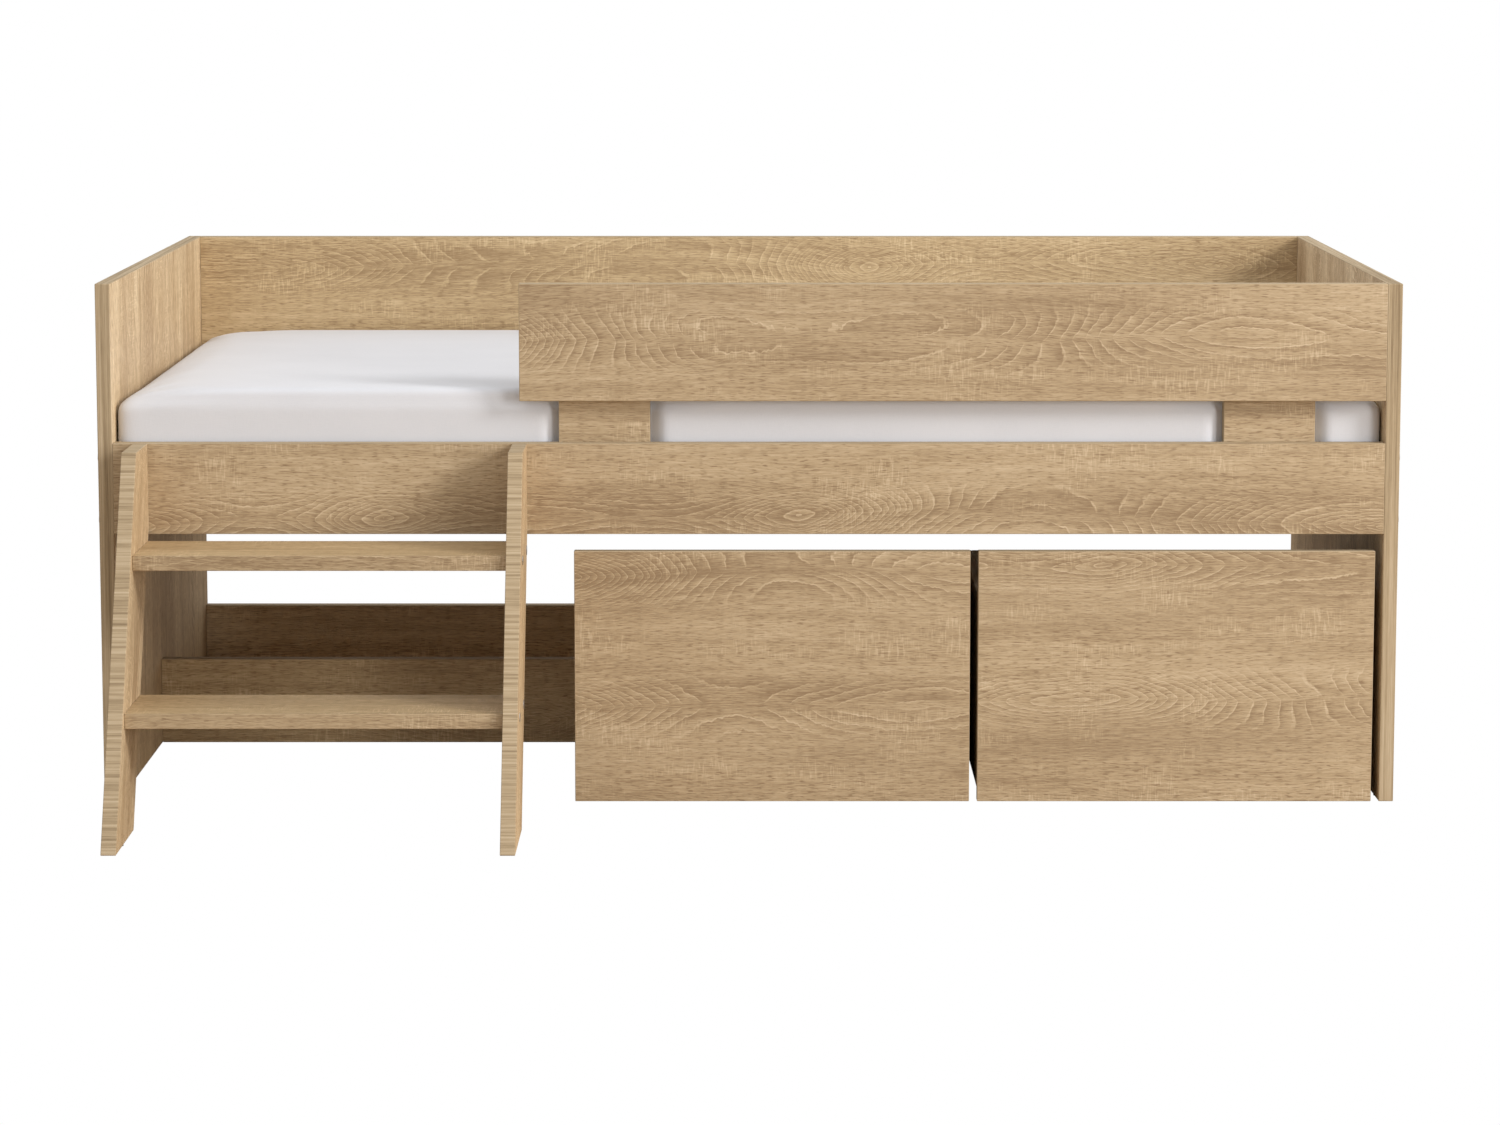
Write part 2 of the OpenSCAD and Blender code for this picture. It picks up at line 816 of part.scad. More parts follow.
// Dowels from the left side into the base's edge
module at_base_dowels()
    for (y = ramp(drawer_front_t + drawer_dowel_inset, drawer_back_y0 - drawer_dowel_inset,
        drawer_dowel_rows - 1))
        translate([drawer_side_t, y, drawer_base_z0 + drawer_base_t / 2])
            rotate([0, 90, 0]) children();

module drawer_dowel() dowel(drawer_dowel_d, drawer_dowel_l, drawer_dowel_in_face);

module drawer_dowel_bore() dowel_bore(drawer_dowel_d, drawer_dowel_l, drawer_dowel_in_face);

module drawer_front(i)
    color(oak)
        in_drawer(i)
            difference() {
                board([0, 0, foot_h], [drawer_w, drawer_front_t, foot_h + drawer_front_h]);
                both_drawer_sides() at_front_dowels() drawer_dowel_bore();
            }

module drawer_left_side()
    difference() {
        board(
            [0, drawer_front_t, drawer_side_z0], [drawer_side_t, drawer_d, drawer_side_z1]
        );
        at_front_dowels() drawer_dowel_bore();
        at_back_dowels() drawer_dowel_bore();
        at_base_dowels() drawer_dowel_bore();
    }

module drawer_side_left(i) color(oak) in_drawer(i) drawer_left_side();

module drawer_side_right(i)
    color(oak)
        in_drawer(i) translate([drawer_w, 0, 0]) mirror([1, 0, 0]) drawer_left_side();

module drawer_back(i)
    color(oak)
        in_drawer(i)
            difference() {
                board(
                    [drawer_side_t, drawer_back_y0, drawer_side_z0],
                    [drawer_w - drawer_side_t, drawer_d, drawer_side_z1]
                );
                both_drawer_sides() at_back_dowels() drawer_dowel_bore();
            }

module drawer_base(i)
    color(oak)
        in_drawer(i)
            difference() {
                board(
                    [drawer_side_t, drawer_front_t, drawer_base_z0],
                    [drawer_w - drawer_side_t, drawer_back_y0, drawer_base_z0 + drawer_base_t]
                );
                both_drawer_sides() at_base_dowels() drawer_dowel_bore();
                at_castors() at_castor_screws() castor_screw_solid(-cut, fit);
            }

module drawer_dowels(i)
    color(beech)
        in_drawer(i)
            both_drawer_sides() {
                at_front_dowels() drawer_dowel();
                at_back_dowels() drawer_dowel();
                at_base_dowels() drawer_dowel();
            }

// Castors, each drawn about its wheel's axis

castor_x = [drawer_side_t + castor_inset, drawer_w - drawer_side_t - castor_inset];

// Places what belongs to wheel k, counted along the front and then along the rear
module at_castor(k)
    translate([castor_x[k % 2], castor_y[floor(k / 2)], wheel_d / 2]) children();

module at_castors() for (k = [0 : 3]) at_castor(k) children();

// Screws from the plate's lower face up into the base
module at_castor_screws()
    for (
        x = pair(-castor_plate_w / 2, castor_plate_w / 2, castor_hole_inset),
        y = pair(-castor_plate_l / 2, castor_plate_l / 2, castor_hole_inset)
    )
        translate([x, y, castor_plate_z]) children();

module castor_cheek(x0)
    translate([x0, 0, 0]) {
        rotate([0, 90, 0]) cylinder(r = castor_cheek_r, h = castor_t);
        translate([0, -castor_cheek_r, 0])
            cube([castor_t, 2 * castor_cheek_r, castor_plate_z + castor_t]);
    }

module castor_frame()
    difference() {
        union() {
            translate([-castor_plate_w / 2, -castor_plate_l / 2, castor_plate_z])
                cube([castor_plate_w, castor_plate_l, castor_t]);
            castor_cheek(-castor_half_w);
            castor_cheek(castor_half_w - castor_t);
        }
        rotate([0, 90, 0])
            cylinder(d = axle_d + 2 * fit, h = 2 * (castor_half_w + cut), center = true);
        at_castor_screws() castor_screw_solid(-cut, fit);
    }

module castor_frames(i) color(grey) in_drawer(i) at_castors() castor_frame();

module castor_axle()
    rotate([0, 90, 0]) {
        cylinder(d = axle_d, h = 2 * castor_half_w, center = true);
        for (turn = [0, 180])
            rotate([turn, 0, 0])
                translate([0, 0, castor_half_w]) cylinder(d = axle_head_d, h = axle_head_h);
    }

module castor_axles(i) color(steel) in_drawer(i) at_castors() castor_axle();

module castor_screws(i)
    color(steel) in_drawer(i) at_castors() at_castor_screws() castor_screw_solid(0, 0);

// Half section of a wheel: bore, hub, hollow sides and a rounded tread
module wheel_section()
    difference() {
        translate([axle_d / 2 + axle_play, -wheel_w / 2])
            square([wheel_d / 2 - axle_d / 2 - axle_play, wheel_w]);
        for (side = [-1, 1]) {
            translate([wheel_hub_r, side > 0 ? wheel_w / 2 - wheel_dish : -wheel_w / 2 - cut])
                square([wheel_d / 2 - wheel_rim - wheel_hub_r, wheel_dish + cut]);
            translate([wheel_d / 2, side * wheel_w / 2])
                rotate(45) square(wheel_edge_r * sqrt(2), center = true);
        }
    }

module wheel(i, k)
    color(black)
        in_drawer(i) at_castor(k) rotate([0, 90, 0]) rotate_extrude() wheel_section();

// Nodes

end_panel(-1);  // end_panel_left
end_panel(1);  // end_panel_right
side_rail();
guard_rail();
guard_support(support_x0[0]);  // guard_support_left
guard_support(support_x0[1]);  // guard_support_right
back_panel();
rear_stretcher();
drawer_stop_stretcher();
front_ledge();
rear_ledge();
slat_tapes();
mattress();
ladder_side(ladder_x0);  // ladder_side_left
ladder_side(ladder_x1 - board_t);  // ladder_side_right
tread(tread_top[0]);  // tread_lower
tread(tread_top[1]);  // tread_upper
frame_bolts();
barrel_nuts();
frame_dowels();
wood_screws();
floor_glides();
for (i = [1 : slat_count])
    slat(i);
for (i = [0, 1]) {
    d = DRAWERS[i];
    drawer_front(i);
    drawer_side_left(i);
    drawer_side_right(i);
    drawer_back(i);
    drawer_base(i);
    drawer_dowels(i);
    castor_frames(i);
    castor_axles(i);
    castor_screws(i);
    for (k = [0 : 3])
        wheel(i, k);
}
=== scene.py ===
# %% [markdown]
# This lesson dresses a low sleeper bed in Blender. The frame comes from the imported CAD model:
# every board, bolt and wheel is already there, in metres, and this script may not move any of
# them. It only replaces a plain solid by a finer surface, or gives it a better finish.

# %% Load the frame
import math

import bpy
import numpy as np
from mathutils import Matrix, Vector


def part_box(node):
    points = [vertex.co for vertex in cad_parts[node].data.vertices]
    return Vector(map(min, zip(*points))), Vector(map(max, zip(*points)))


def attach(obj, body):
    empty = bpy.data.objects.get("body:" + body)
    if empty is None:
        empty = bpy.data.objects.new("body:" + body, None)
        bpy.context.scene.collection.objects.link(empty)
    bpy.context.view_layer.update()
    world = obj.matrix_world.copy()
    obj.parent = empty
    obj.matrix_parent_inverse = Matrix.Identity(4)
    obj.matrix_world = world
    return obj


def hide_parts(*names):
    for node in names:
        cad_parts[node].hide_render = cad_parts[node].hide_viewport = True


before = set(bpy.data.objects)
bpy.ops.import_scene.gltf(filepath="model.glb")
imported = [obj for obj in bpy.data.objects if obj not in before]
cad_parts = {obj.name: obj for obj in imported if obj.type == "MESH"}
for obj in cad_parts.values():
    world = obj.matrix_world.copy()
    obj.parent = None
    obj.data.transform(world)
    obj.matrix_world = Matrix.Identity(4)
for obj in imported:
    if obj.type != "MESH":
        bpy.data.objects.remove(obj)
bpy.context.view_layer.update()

# %% [markdown]
# The picture was taken from the middle of the bed, 1.29 m above the floor and 5.6 m in front of
# it, with a lens slid downwards so that the uprights stay parallel. A slid lens would push the
# bed out of every other view, so here it is slid by less than a third of that, and the camera is
# tilted for the rest. Tilt and focal length are the ones that bring the corners of the boards
# closest to their places, to within about 6 pixels of 1500.

# %% Camera
EYE = (0.0, -5.9195, 1.2878)
TILT_DOWN = math.radians(6.5285)
FOCAL_MM = 90.291
SENSOR_MM = 36.0
SLIDE_RIGHT = 0.0008
SLIDE_UP = -0.12
FARTHEST = 60.0


def make_camera():
    """A camera at EYE that looks along +Y and down by TILT_DOWN, with the lens slid a little."""
    data = bpy.data.cameras.new("photo_camera")
    data.sensor_width = SENSOR_MM
    data.lens = FOCAL_MM
    data.shift_x = SLIDE_RIGHT
    data.shift_y = SLIDE_UP
    data.clip_end = FARTHEST
    camera = bpy.data.objects.new("photo_camera", data)
    camera.location = EYE
    camera.rotation_euler = (math.pi / 2 - TILT_DOWN, 0.0, 0.0)
    bpy.context.scene.collection.objects.link(camera)
    bpy.context.scene.camera = camera


make_camera()
angle = 2 * math.degrees(math.atan(SENSOR_MM / 2 / FOCAL_MM))
print(f"camera: {angle:.1f} degrees wide, slid by {SLIDE_UP} of the picture's width")

# %% [markdown]
# Materials are graphs of nodes. They could be drawn by hand in the shader editor, but written
# out they can be read and changed line by line. A few small helpers keep them short: one adds a
# node and joins whatever it is given, one adds a step of arithmetic, and the others add noise, a
# soft threshold and a bump.


# %% Helpers for node graphs
def add(tree, kind, sockets=None, **settings):
    """Adds one shader node. A socket's value may be a number, a colour or another socket."""
    node = tree.nodes.new("ShaderNode" + kind)
    for key, value in settings.items():
        setattr(node, key, value)
    for key, value in (sockets or {}).items():
        if isinstance(value, bpy.types.NodeSocket):
            tree.links.new(value, node.inputs[key])
        else:
            node.inputs[key].default_value = value
    return node


def calc(tree, operation, first, second=0.0, third=0.0):
    """One step of arithmetic on numbers or sockets."""
    return add(tree, "Math", {0: first, 1: second, 2: third}, operation=operation).outputs[0]


def noise(tree, vector, layers, strength, dimensions="2D"):
    """Smooth noise between 0 and 1, about 0.5, with one bump for each unit of the vector.

    Layers is how many finer noises lie on the first, and strength is what each adds.
    """
    sockets = {"Vector": vector, "Scale": 1.0, "Detail": layers, "Roughness": strength}
    return add(tree, "TexNoise", sockets, noise_dimensions=dimensions).outputs[0]


def between(tree, value, low, high):
    """0 where value is at low or beyond, 1 at high or beyond, straight in between."""
    sockets = {"Value": value, "From Min": low, "From Max": high}
    return add(tree, "MapRange", sockets, clamp=True).outputs[0]


def new_material(name):
    """A node material and its main shader."""
    material = bpy.data.materials.new(name)
    material.use_nodes = True
    return material, material.node_tree, material.node_tree.nodes["Principled BSDF"]


def bump(tree, shader, height, distance):
    """Raises the surface by height times distance in metres, as light sees it."""
    sockets = {"Height": height, "Distance": distance, "Strength": 1.0}
    tree.links.new(add(tree, "Bump", sockets).outputs[0], shader.inputs["Normal"])


print("node helpers ready")

# %% [markdown]
# The bed stands in soft studio light. A key light at the right, in front and above, throws the
# end panel's shadow on the back panel and the ladder's on its treads. A wide light lower down at
# the right reaches into the gaps. The bed fades towards its left end, as in the picture, because
# both stand nearer to its right end. A white dome gives the other half of the light. A panorama
# of a studio could light the bed too, but lamps can be placed and weighed one by one.

# %% Studio light
LIGHTS = {
    "key": {"place": (7.4, -3.9, 4.7), "size": 2.5, "power": 490.0},
    "side": {"place": (6.5, -8.0, 2.0), "size": 3.5, "power": 268.0},
    "top": {"place": (0.0, -0.5, 4.0), "size": 3.0, "power": 10.0},
}
AIM = (0.0, 0.0, 0.4)
DOME = 0.785
WHITE = (1.0, 1.0, 1.0, 1.0)


def seen_by_camera(tree):
    """1 for what the camera sees directly, 0 for light that bounces off the stage."""
    return add(tree, "LightPath").outputs["Is Camera Ray"]


def make_world():
    """An even dome of strength DOME, which to the camera is plain white."""
    world = bpy.data.worlds.new("studio")
    world.use_nodes = True
    tree = world.node_tree
    dome = tree.nodes["Background"]
    dome.inputs["Color"].default_value = WHITE
    strength = calc(tree, "MAXIMUM", DOME, seen_by_camera(tree))
    tree.links.new(strength, dome.inputs["Strength"])
    bpy.context.scene.world = world


def make_light(name, place, size, power):
    """A round area light at `place` that faces AIM, and that no camera sees.

    Its tilt from straight down is the arc cosine of height / distance, and its turn about the
    upright is the arc tangent of right / forwards.
    """
    data = bpy.data.lights.new(name, "AREA")
    data.shape = "DISK"
    data.size = size
    data.energy = power
    lamp = bpy.data.objects.new(name, data)
    way = np.array(place) - np.array(AIM)
    tilt = math.acos(way[2] / np.linalg.norm(way))
    turn = math.atan2(way[0], -way[1])
    lamp.location = place
    lamp.rotation_euler = (tilt, 0.0, turn)
    lamp.visible_camera = False
    bpy.context.scene.collection.objects.link(lamp)


make_world()
for name, facts in LIGHTS.items():
    make_light(name, **facts)
bpy.context.scene.view_settings.view_transform = "Standard"
print("lights:", sorted(LIGHTS), "and a dome of strength", DOME)

# %% [markdown]
# The floor is plain white and takes no shadow. A white surface would glare back at the boards,
# so the floor shows white to the camera only, and the light that bounces off it is weak and warm.

# %% Floor
FLOOR_HALF = 20.0
FLOOR_BOUNCE = (0.42, 0.31, 0.20, 1.0)


def make_floor():
    """One flat square at height 0: WHITE to the camera and FLOOR_BOUNCE to the light."""
    half = FLOOR_HALF
    corners = [(-half, -half, 0.0), (half, -half, 0.0), (half, half, 0.0), (-half, half, 0.0)]
    mesh = bpy.data.meshes.new("floor")
    mesh.from_pydata(corners, [], [(0, 1, 2, 3)])
    floor = bpy.data.objects.new("floor", mesh)
    bpy.context.scene.collection.objects.link(floor)
    material, tree, shader = new_material("floor")
    tree.nodes.remove(shader)
    output = tree.nodes["Material Output"]
    white = add(tree, "Emission", {"Color": WHITE}).outputs[0]
    warm = add(tree, "BsdfDiffuse", {"Color": FLOOR_BOUNCE}).outputs[0]
    both = add(tree, "MixShader", {0: seen_by_camera(tree), 1: warm, 2: white})
    tree.links.new(both.outputs[0], output.inputs["Surface"])
    mesh.materials.append(material)


make_floor()
print("floor:", 2 * FLOOR_HALF, "m wide")

# %% [markdown]
# The boards are chipboard under a printed foil of rough sawn light oak. A picture of oak could be
# laid on each board, but it would repeat and blur close up, so the print is worked out in a graph.
# Such a print shows what a saw finds in a trunk. Most of a board is straight grain: short fine
# dashes side by side. Where the cut meets the heart of the trunk, the yearly rings close into
# long ovals and arches.
#
# The graph works in metres on the board's own map, u along the grain and v across it. Every
# PLANK_WIDTH a line of hearts runs along u. Side is the distance from that line, and lift is how
# far the heart lies above or below the cut, which drifts slowly along u. The distance to the
# heart joins the two, a little more pointed than a circle would. Counting rings by that distance
# gives ovals where the lift passes through zero and arches where it rises.
#
# Whatever is uneven in the print is noise, and four numbers say which: its bumps a metre along u
# and along v, its finer layers and their strength.

# %% Heart of the trunk
PLANK_WIDTH = 0.20
HEART_LIFT = 0.42
HEART_WANDER = 0.045
HEART_BEND = 0.016
POINTED = 1.5
LEAST_DISTANCE = 0.001
SLOPE_STEP = 0.02
DRIFT = (1.1, 5.3, 1.0, 0.45)
WANDER = (1.7, 8.9, 1.0, 0.5)
BEND = (5.0, 9.0, 2.0, 0.5)


def grain_noise(tree, u, v, kind):
    """Noise at the point (u * bumps along, v * bumps across), where kind starts with both."""
    bumps_along, bumps_across, layers, strength = kind
    along = calc(tree, "MULTIPLY", u, bumps_along)
    across = calc(tree, "MULTIPLY", v, bumps_across)
    point = add(tree, "CombineXYZ", {0: along, 1: across}).outputs[0]
    return noise(tree, point, layers, strength)


def centred(tree, value, amount):
    """(value - 0.5) * amount."""
    return calc(tree, "MULTIPLY", calc(tree, "SUBTRACT", value, 0.5), amount)


def heart_line(tree, u, v):
    """Side, lift and climb: where the line of hearts runs, and how it rises along u.

    side = v - middle of the plank + wander, lift = (drift - 0.5) * HEART_LIFT, and climb is the
    change of that over SLOPE_STEP. Lift and wander fade as 1 - (2 * side / PLANK_WIDTH)^2 half
    way between two lines of hearts, so that no seam shows.
    """
    plank = calc(tree, "FLOOR", calc(tree, "DIVIDE", v, PLANK_WIDTH))
    middle = calc(tree, "MULTIPLY_ADD", plank, PLANK_WIDTH, PLANK_WIDTH / 2)
    side = calc(tree, "SUBTRACT", v, middle)
    squared = calc(tree, "MULTIPLY", side, side)
    near = calc(tree, "MULTIPLY_ADD", squared, -4.0 / PLANK_WIDTH**2, 1.0)
    drift = grain_noise(tree, u, plank, DRIFT)
    next_drift = grain_noise(tree, calc(tree, "ADD", u, SLOPE_STEP), plank, DRIFT)
    wander = centred(tree, grain_noise(tree, u, plank, WANDER), HEART_WANDER)
    lift = calc(tree, "MULTIPLY", centred(tree, drift, HEART_LIFT), near)
    climb = calc(tree, "SUBTRACT", next_drift, drift)
    climb = calc(tree, "MULTIPLY", climb, HEART_LIFT / SLOPE_STEP)
    return calc(tree, "MULTIPLY_ADD", wander, near, side), lift, climb


def heart(tree, u, v):
    """Side, distance to the heart, and how steeply that distance changes.

    distance = (side^1.5 + lift^1.5)^(2/3), with side bent a little, and
    steepness = root of ((side + lift * climb^2) / distance).
    """
    side, lift, climb = heart_line(tree, u, v)
    bend = centred(tree, grain_noise(tree, u, v, BEND), HEART_BEND)
    bent = calc(tree, "ABSOLUTE", calc(tree, "ADD", side, bend))
    lift = calc(tree, "ABSOLUTE", lift)
    powers = [calc(tree, "POWER", part, POINTED) for part in (bent, lift)]
    distance = calc(tree, "POWER", calc(tree, "ADD", *powers), 1 / POINTED)
    distance = calc(tree, "MAXIMUM", distance, LEAST_DISTANCE)
    change = calc(tree, "MULTIPLY_ADD", lift, calc(tree, "MULTIPLY", climb, climb), bent)
    steepness = calc(tree, "SQRT", calc(tree, "DIVIDE", change, distance))
    return side, distance, steepness


print("hearts: one line every", PLANK_WIDTH, "m, up to", HEART_LIFT / 2, "m off the cut")

# %% [markdown]
# Each yearly ring of the print starts with a thin pale outline and goes from dark to light. The
# outline has to be as wide on an oval's long side as at its tip, so its width is worked out from
# the steepness. Where the distance hardly changes a ring would spread into a blot, so both
# outline and shade fade out there.

# %% Yearly rings
RINGS_PER_METRE = 205.0
RING_SHADE = ((0.0, 0.14), (0.45, 0.42), (1.0, 0.60))
SHADE_FADE = (0.26, 0.50)
OUTLINE_WIDTH = 0.0012
OUTLINE_CORE = 0.6
OUTLINE_FADE = (0.22, 0.42)
OUTLINE_WEIGHT = 0.70
JAG_HEIGHT = 0.0040
JAG = (75.0, 50.0, 2.0, 0.6)
UNEVEN_RINGS = 4.0
UNEVEN = (34.0, 0.6, 1.0, 0.5)


def ramp(tree, value, stops):
    """A colour for each value, straight between the given stops of position and colour."""
    node = add(tree, "ValToRGB", {0: value})
    elements = node.color_ramp.elements
    while len(elements) < len(stops):
        elements.new(0.5)
    for element, (position, colour) in zip(elements, stops):
        element.position = position
        element.color = (*colour, 1.0)
    return node.outputs[0]


def rings(tree, u, v, distance, steepness):
    """The yearly rings about 0: outline * OUTLINE_WEIGHT + shade, each with its own fade.

    past = fraction of (distance * RINGS_PER_METRE + uneven), which says how far into its ring
    a point lies. In metres that is past / (RINGS_PER_METRE * steepness), and the outline is
    OUTLINE_WIDTH of it. Its jags follow the steepness, so they too are as wide everywhere.
    """
    jag = centred(tree, grain_noise(tree, u, v, JAG), JAG_HEIGHT)
    distance = calc(tree, "MULTIPLY_ADD", jag, steepness, distance)
    uneven = grain_noise(tree, distance, u, UNEVEN)
    count = calc(tree, "MULTIPLY", distance, RINGS_PER_METRE)
    past = calc(tree, "FRACT", calc(tree, "MULTIPLY_ADD", uneven, UNEVEN_RINGS, count))
    greys = [(position, (height,) * 3) for position, height in RING_SHADE]
    shade = calc(tree, "SUBTRACT", ramp(tree, past, greys), 0.5)
    shade = calc(tree, "MULTIPLY", shade, between(tree, steepness, *SHADE_FADE))
    width = calc(tree, "DIVIDE", past, calc(tree, "MULTIPLY", steepness, RINGS_PER_METRE))
    outline = between(tree, width, OUTLINE_WIDTH, OUTLINE_WIDTH * OUTLINE_CORE)
    outline = calc(tree, "MULTIPLY", outline, between(tree, steepness, *OUTLINE_FADE))
    return calc(tree, "MULTIPLY_ADD", outline, OUTLINE_WEIGHT, shade)


print("rings:", RINGS_PER_METRE, "a metre, outlines", OUTLINE_WIDTH * 1000, "mm wide")

# %% [markdown]
# A few more steps are shared by all prints. The map says where on the sheet a point lies. The saw
# left short light strokes across the grain, in loose patches, which two noises give together.
# And a ramp turns a finished tone into a colour between dark, middle and light.

# %% Map, saw marks and colours
STROKES = (340.0, 42.0, 1.0, 0.5)
PATCHES = (6.0, 14.0, 3.0, 0.6)
SAW_EDGES = (0.52, 0.68)
TONE_PLACES = (0.15, 0.5, 0.95)


def grain_map(tree):
    """u along the grain and v across it, in metres, from the board's own map."""
    place = add(tree, "UVMap", uv_map="grain").outputs[0]
    parts = add(tree, "SeparateXYZ", {0: place}).outputs
    return parts[0], parts[1]


def saw_marks(tree, u, v):
    """Strokes * patches: short light strokes across the grain, only where a patch is."""
    strokes = between(tree, grain_noise(tree, u, v, STROKES), *SAW_EDGES)
    patches = between(tree, grain_noise(tree, u, v, PATCHES), *SAW_EDGES)
    return calc(tree, "MULTIPLY", strokes, patches)


def tone_colour(tree, tone, colours):
    """Turns a tone between 0 and 1 into a colour between dark, middle and light."""
    return ramp(tree, tone, list(zip(TONE_PLACES, colours)))


def shifted(tree, tone, part, amount):
    """tone + (part - 0.5) * amount."""
    return calc(tree, "ADD", tone, centred(tree, part, amount))


print("saw strokes:", STROKES[0], "a metre, in patches", 1 / PATCHES[0], "m apart")

# %% [markdown]
# The foil adds everything up in one tone. Lines are the straight grain, bands and clouds are
# broader lighter and darker parts, and dashes are the dark pores. The rings show at the core,
# near the line of hearts, and hardly beyond it. The same sum with other weights gives the pine
# boards, and the paler and more golden foils. Their lighter and warmer colours are painted light:
# the paler one paints in extra light, the golden one extra warm light. The paler foil also has a
# livelier figure, which is print.

# %% Oak foil
LINE = (26.0, 560.0, 3.0, 0.7)
BAND = (2.0, 70.0, 2.0, 0.55)
CLOUD = (1.1, 9.0, 3.0, 0.6)
DASH = (65.0, 850.0, 1.0, 0.5)
LINE_WEIGHT = 0.96
BAND_WEIGHT = 0.36
CLOUD_WEIGHT = 0.60
DASH_WEIGHT = 0.38
MARK_WEIGHT = 0.24
CORE_SHOWS = 0.74
REST_SHOWS = 0.06
CORE_DARKER = 0.05
CORE_EDGES = (0.054, 0.018)
DASH_EDGES = (0.42, 0.27)
GRAIN_BEND = 0.35
LINE_GLOSS = 0.16
MARK_HEIGHT = 0.5
FOIL_RELIEF = 0.00012


def wood(name, colours, figure=1.0, lines=1.0, clouds=1.0, saw=1.0, roughness=0.5):
    """A wood print: colours are dark, middle and light; the rest weighs its details.

    tone = 0.5 - core + ring * shown + cloud + band + line + marks - dash, each times its
    weight. The fine grain follows v + distance * GRAIN_BEND, so it bends round the hearts.
    """
    material, tree, shader = new_material(name)
    u, v = grain_map(tree)
    side, distance, steepness = heart(tree, u, v)
    across = calc(tree, "MULTIPLY_ADD", distance, GRAIN_BEND, v)
    line = grain_noise(tree, u, across, LINE)
    band = grain_noise(tree, u, across, BAND)
    cloud = grain_noise(tree, u, v, CLOUD)
    dash = between(tree, grain_noise(tree, u, across, DASH), *DASH_EDGES)
    core = between(tree, calc(tree, "ABSOLUTE", side), *CORE_EDGES)
    shown = calc(tree, "MULTIPLY_ADD", core, CORE_SHOWS * figure, REST_SHOWS * figure)
    tone = calc(tree, "MULTIPLY_ADD", core, -CORE_DARKER * figure, 0.5)
    ring = rings(tree, u, v, distance, steepness)
    tone = calc(tree, "MULTIPLY_ADD", ring, shown, tone)
    tone = shifted(tree, tone, cloud, CLOUD_WEIGHT * clouds)
    tone = shifted(tree, tone, band, BAND_WEIGHT * lines)
    tone = shifted(tree, tone, line, LINE_WEIGHT * lines)
    marks = saw_marks(tree, u, v)
    tone = calc(tree, "MULTIPLY_ADD", marks, MARK_WEIGHT * saw, tone)
    tone = calc(tree, "MULTIPLY_ADD", dash, -DASH_WEIGHT * lines, tone)
    tree.links.new(tone_colour(tree, tone, colours), shader.inputs["Base Color"])
    gloss = calc(tree, "MULTIPLY_ADD", line, -LINE_GLOSS, roughness + LINE_GLOSS / 2)
    tree.links.new(gloss, shader.inputs["Roughness"])
    shader.inputs["Specular IOR Level"].default_value = 0.4
    height = calc(tree, "MULTIPLY_ADD", marks, MARK_HEIGHT, line)
    bump(tree, shader, calc(tree, "SUBTRACT", height, dash), FOIL_RELIEF)
    return material


OAK_COLOURS = ((0.295, 0.198, 0.109), (0.468, 0.344, 0.205), (0.65, 0.512, 0.343))
# The pale and golden colour sets are painted light: lighter and warmer copies of the oak colours.
PALE_PAINTED_LIGHT_COLOURS = ((0.378, 0.247, 0.131), (0.593, 0.431, 0.249), (0.805, 0.63, 0.41))
GOLDEN_PAINTED_LIGHT_COLOURS = ((0.318, 0.206, 0.101), (0.505, 0.358, 0.190), (0.70, 0.532, 0.319))
PINE_COLOURS = ((0.50, 0.31, 0.14), (0.68, 0.48, 0.26), (0.80, 0.62, 0.40))

oak_face = wood("oak_foil", OAK_COLOURS)
# These two foils carry painted light in their colours; the pale one's livelier figure is print.
pale_painted_light_face = wood("oak_foil_pale_painted_light", PALE_PAINTED_LIGHT_COLOURS, figure=1.7, lines=1.5, clouds=1.8)
golden_painted_light_face = wood("oak_foil_golden_painted_light", GOLDEN_PAINTED_LIGHT_COLOURS, figure=0.75, lines=1.1)
pine = wood("pine", PINE_COLOURS, figure=0.7, lines=0.5, saw=0.3, roughness=0.6)
print("foils:", oak_face.name, pale_painted_light_face.name, golden_painted_light_face.name, "and wood:", pine.name)

# %% [markdown]
# The cut edges of the chipboard carry a glued band with a print of its own: straight fine
# stripes, duller than the foil. Two noises, drawn out far along the band, are enough for it.

# %% Edge band
EDGE_COLOURS = ((0.27, 0.197, 0.117), (0.44, 0.335, 0.21), (0.60, 0.485, 0.335))
STRIPE = (1.5, 230.0, 3.0, 0.7)
STRIPE_WEIGHT = 1.5
FINE_STRIPE = (30.0, 900.0, 2.0, 0.6)
FINE_WEIGHT = 0.4
BAND_RELIEF = 0.0001


def edge_band(name, colours):
    """tone = 0.5 + stripe + fine stripe, each about 0 and times its weight."""
    material, tree, shader = new_material(name)
    u, v = grain_map(tree)
    stripe = grain_noise(tree, u, v, STRIPE)
    fine = grain_noise(tree, u, v, FINE_STRIPE)
    tone = shifted(tree, shifted(tree, 0.5, stripe, STRIPE_WEIGHT), fine, FINE_WEIGHT)
    tree.links.new(tone_colour(tree, tone, colours), shader.inputs["Base Color"])
    shader.inputs["Roughness"].default_value = 0.75
    shader.inputs["Specular IOR Level"].default_value = 0.12
    bump(tree, shader, stripe, BAND_RELIEF)
    return material


oak_edge = edge_band("oak_edge_band", EDGE_COLOURS)
print("edge band:", oak_edge.name)

# %% [markdown]
# A board is cut square and its long edges are broken with a few strokes of sandpaper. In light
# that tiny rounding is what tells a board from a drawn box, because it catches a thin highlight.
# A cube with a Bevel modifier would do for most boards, but not for the five-cornered sides of
# the ladder, and it would leave the map to chance. So each board is one surface with two
# parameters: one runs round the outline, the other runs through the thickness. Going through the
# thickness the outline first swells along a quarter circle, stays, and shrinks again.


# %% Boards as swept outlines
CORNER_RADIUS = 0.0012
ARRIS_RADIUS = 0.0009
FAN = 3
ARRIS_STEPS = 3


